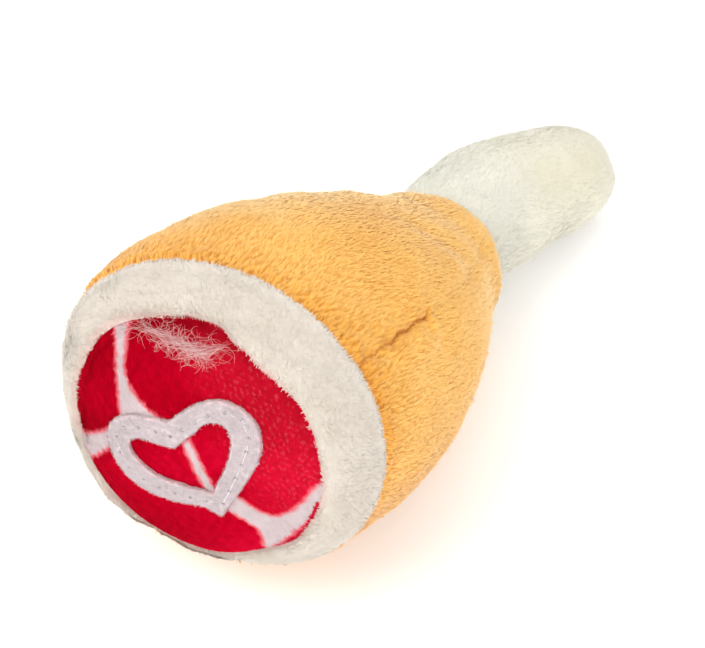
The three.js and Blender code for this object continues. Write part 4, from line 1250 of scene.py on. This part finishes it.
def clouded_finish(name, dark, pale, settings, cloud_size, detail, height, strength, distortion=0):
    """Fibre or plastic with clouds of a darker and a paler shade, which are raised where they are pale"""
    material, nodes, links, shader = new_finish(name, settings)
    clouds = add_clouds(nodes, links, cloud_size, detail, distortion)
    tint = nodes.new("ShaderNodeValToRGB")
    for element, shade in zip(tint.color_ramp.elements, (dark, pale)):
        element.color = (*shade, 1)
    links.new(clouds, tint.inputs["Fac"])
    links.new(tint.outputs["Color"], shader.inputs["Base Color"])
    add_relief(nodes, links, shader, clouds, height, strength)
    return material


fibre_finish = clouded_finish("polyester_fibre", (0.72, 0.72, 0.70), (0.94, 0.94, 0.93),
                              {"Roughness": 0.9, "Sheen Weight": 0.3}, 1000 / 260, 6, 0.8, 1, 1.4)
fibre_voxel = 0.0017


def stuffing(name, node, body, room, seed):
    """A lump of fibre in the room that its CAD node holds, with its surface sunk unevenly"""
    lump = bpy.data.objects.new(name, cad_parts[node].data.copy())
    bpy.context.scene.collection.objects.link(lump)
    packed = lump.modifiers.new("packed", "REMESH")
    packed.mode = "VOXEL"
    packed.voxel_size = fibre_voxel
    solid = bpy.data.meshes.new_from_object(lump.evaluated_get(bpy.context.evaluated_depsgraph_get()))
    lump.modifiers.clear()
    lump.data = solid
    places, away = np.zeros((2, len(solid.vertices) * 3))
    solid.vertices.foreach_get("co", places)
    solid.vertices.foreach_get("normal", away)
    places = places.reshape(-1, 3)
    sunk = room + lumpy(places * 1000, (0.4, 8, seed), (0.25, 2.5, seed + 1))
    places = places - away.reshape(-1, 3) * sunk[:, None] / 1000
    solid.vertices.foreach_set("co", places.ravel())
    solid.update()
    solid.shade_smooth()
    solid.materials.clear()
    solid.materials.append(fibre_finish)
    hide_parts(node)
    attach(lump, body)


stuffing("fibre_lump_upper", "body_filling_upper", "ham", 0.7, 151)
stuffing("fibre_lump_lower", "body_filling_lower", "ham", 0.7, 161)
stuffing("fibre_lump_bone", "bone_filling", "bone", 3.2, 171)

# Squeaker
# A bulb of soft blown plastic with a reed unit in its mouth: a flanged tube, the wedge that the
# reed beats on, the clip that holds it, and the thin reed. It stands upright in the filling.
bulb_middle = np.array([-44.03, -0.15, 42.44])
bulb_radius, bulb_half_height, bulb_wall = 17.0, 11.0, 0.8
mouth_radius, mouth_top = 5.2, 18.0


def bulb_side(inset):
    wide, high, neck = bulb_radius - inset, bulb_half_height - inset, mouth_radius - inset
    angle = np.linspace(0.02, math.pi - math.asin((neck + 0.9) / wide), 60)
    body = np.stack([wide * np.sin(angle), -high * np.cos(angle)], -1)
    body[:, 0] += 0.18 * bump(body[:, 1], 0.35)
    neck_heights = np.linspace(body[-1, 1] + 0.5, mouth_top, 16)
    flare = neck + 0.9 * np.exp(-(neck_heights - body[-1, 1]) / 1.1)
    return np.concatenate([body, np.stack([flare, neck_heights], -1)])


profile = np.concatenate([bulb_side(0.0), bulb_side(bulb_wall)[::-1]])
bulb_angles = np.linspace(0, 2 * math.pi, 97)
bulb_rows = bulb_middle + np.stack([
    profile[:, None, 0] * np.cos(bulb_angles),
    profile[:, None, 0] * np.sin(bulb_angles),
    np.repeat(profile[:, 1:], len(bulb_angles), 1),
], -1)
milky = dye(238, 238, 232)
bulb = cloth_piece("blown_bulb", bulb_rows, bulb_middle, np.broadcast_to(milky, bulb_rows.shape),
                   placed=lambda places: places / 1000)


def plastic_finish(name, colour, roughness, cloud, cloud_size):
    dark, pale = colour * (1 - cloud), np.minimum(colour * (1 + cloud), 1)
    return clouded_finish(name, dark, pale, {"Roughness": roughness}, cloud_size, 4, 0.08, 0.3)


bulb.data.materials.append(plastic_finish("blown_soft_plastic", milky, 0.42, 0.05, 4))
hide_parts("squeaker_bulb")
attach(bulb, "ham")
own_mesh(bulb)

moulded = plastic_finish("moulded_hard_plastic", dye(223, 230, 234), 0.32, 0.04, 1.5)
reed_film = plastic_finish("thin_reed_film", dye(214, 224, 230), 0.22, 0.03, 0.8)
reed_parts = {"reed_housing": moulded, "reed_wedge": moulded, "reed_clip": moulded, "reed": reed_film}
for node, finish in reed_parts.items():
    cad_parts[node].data.materials.clear()
    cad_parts[node].data.materials.append(finish)
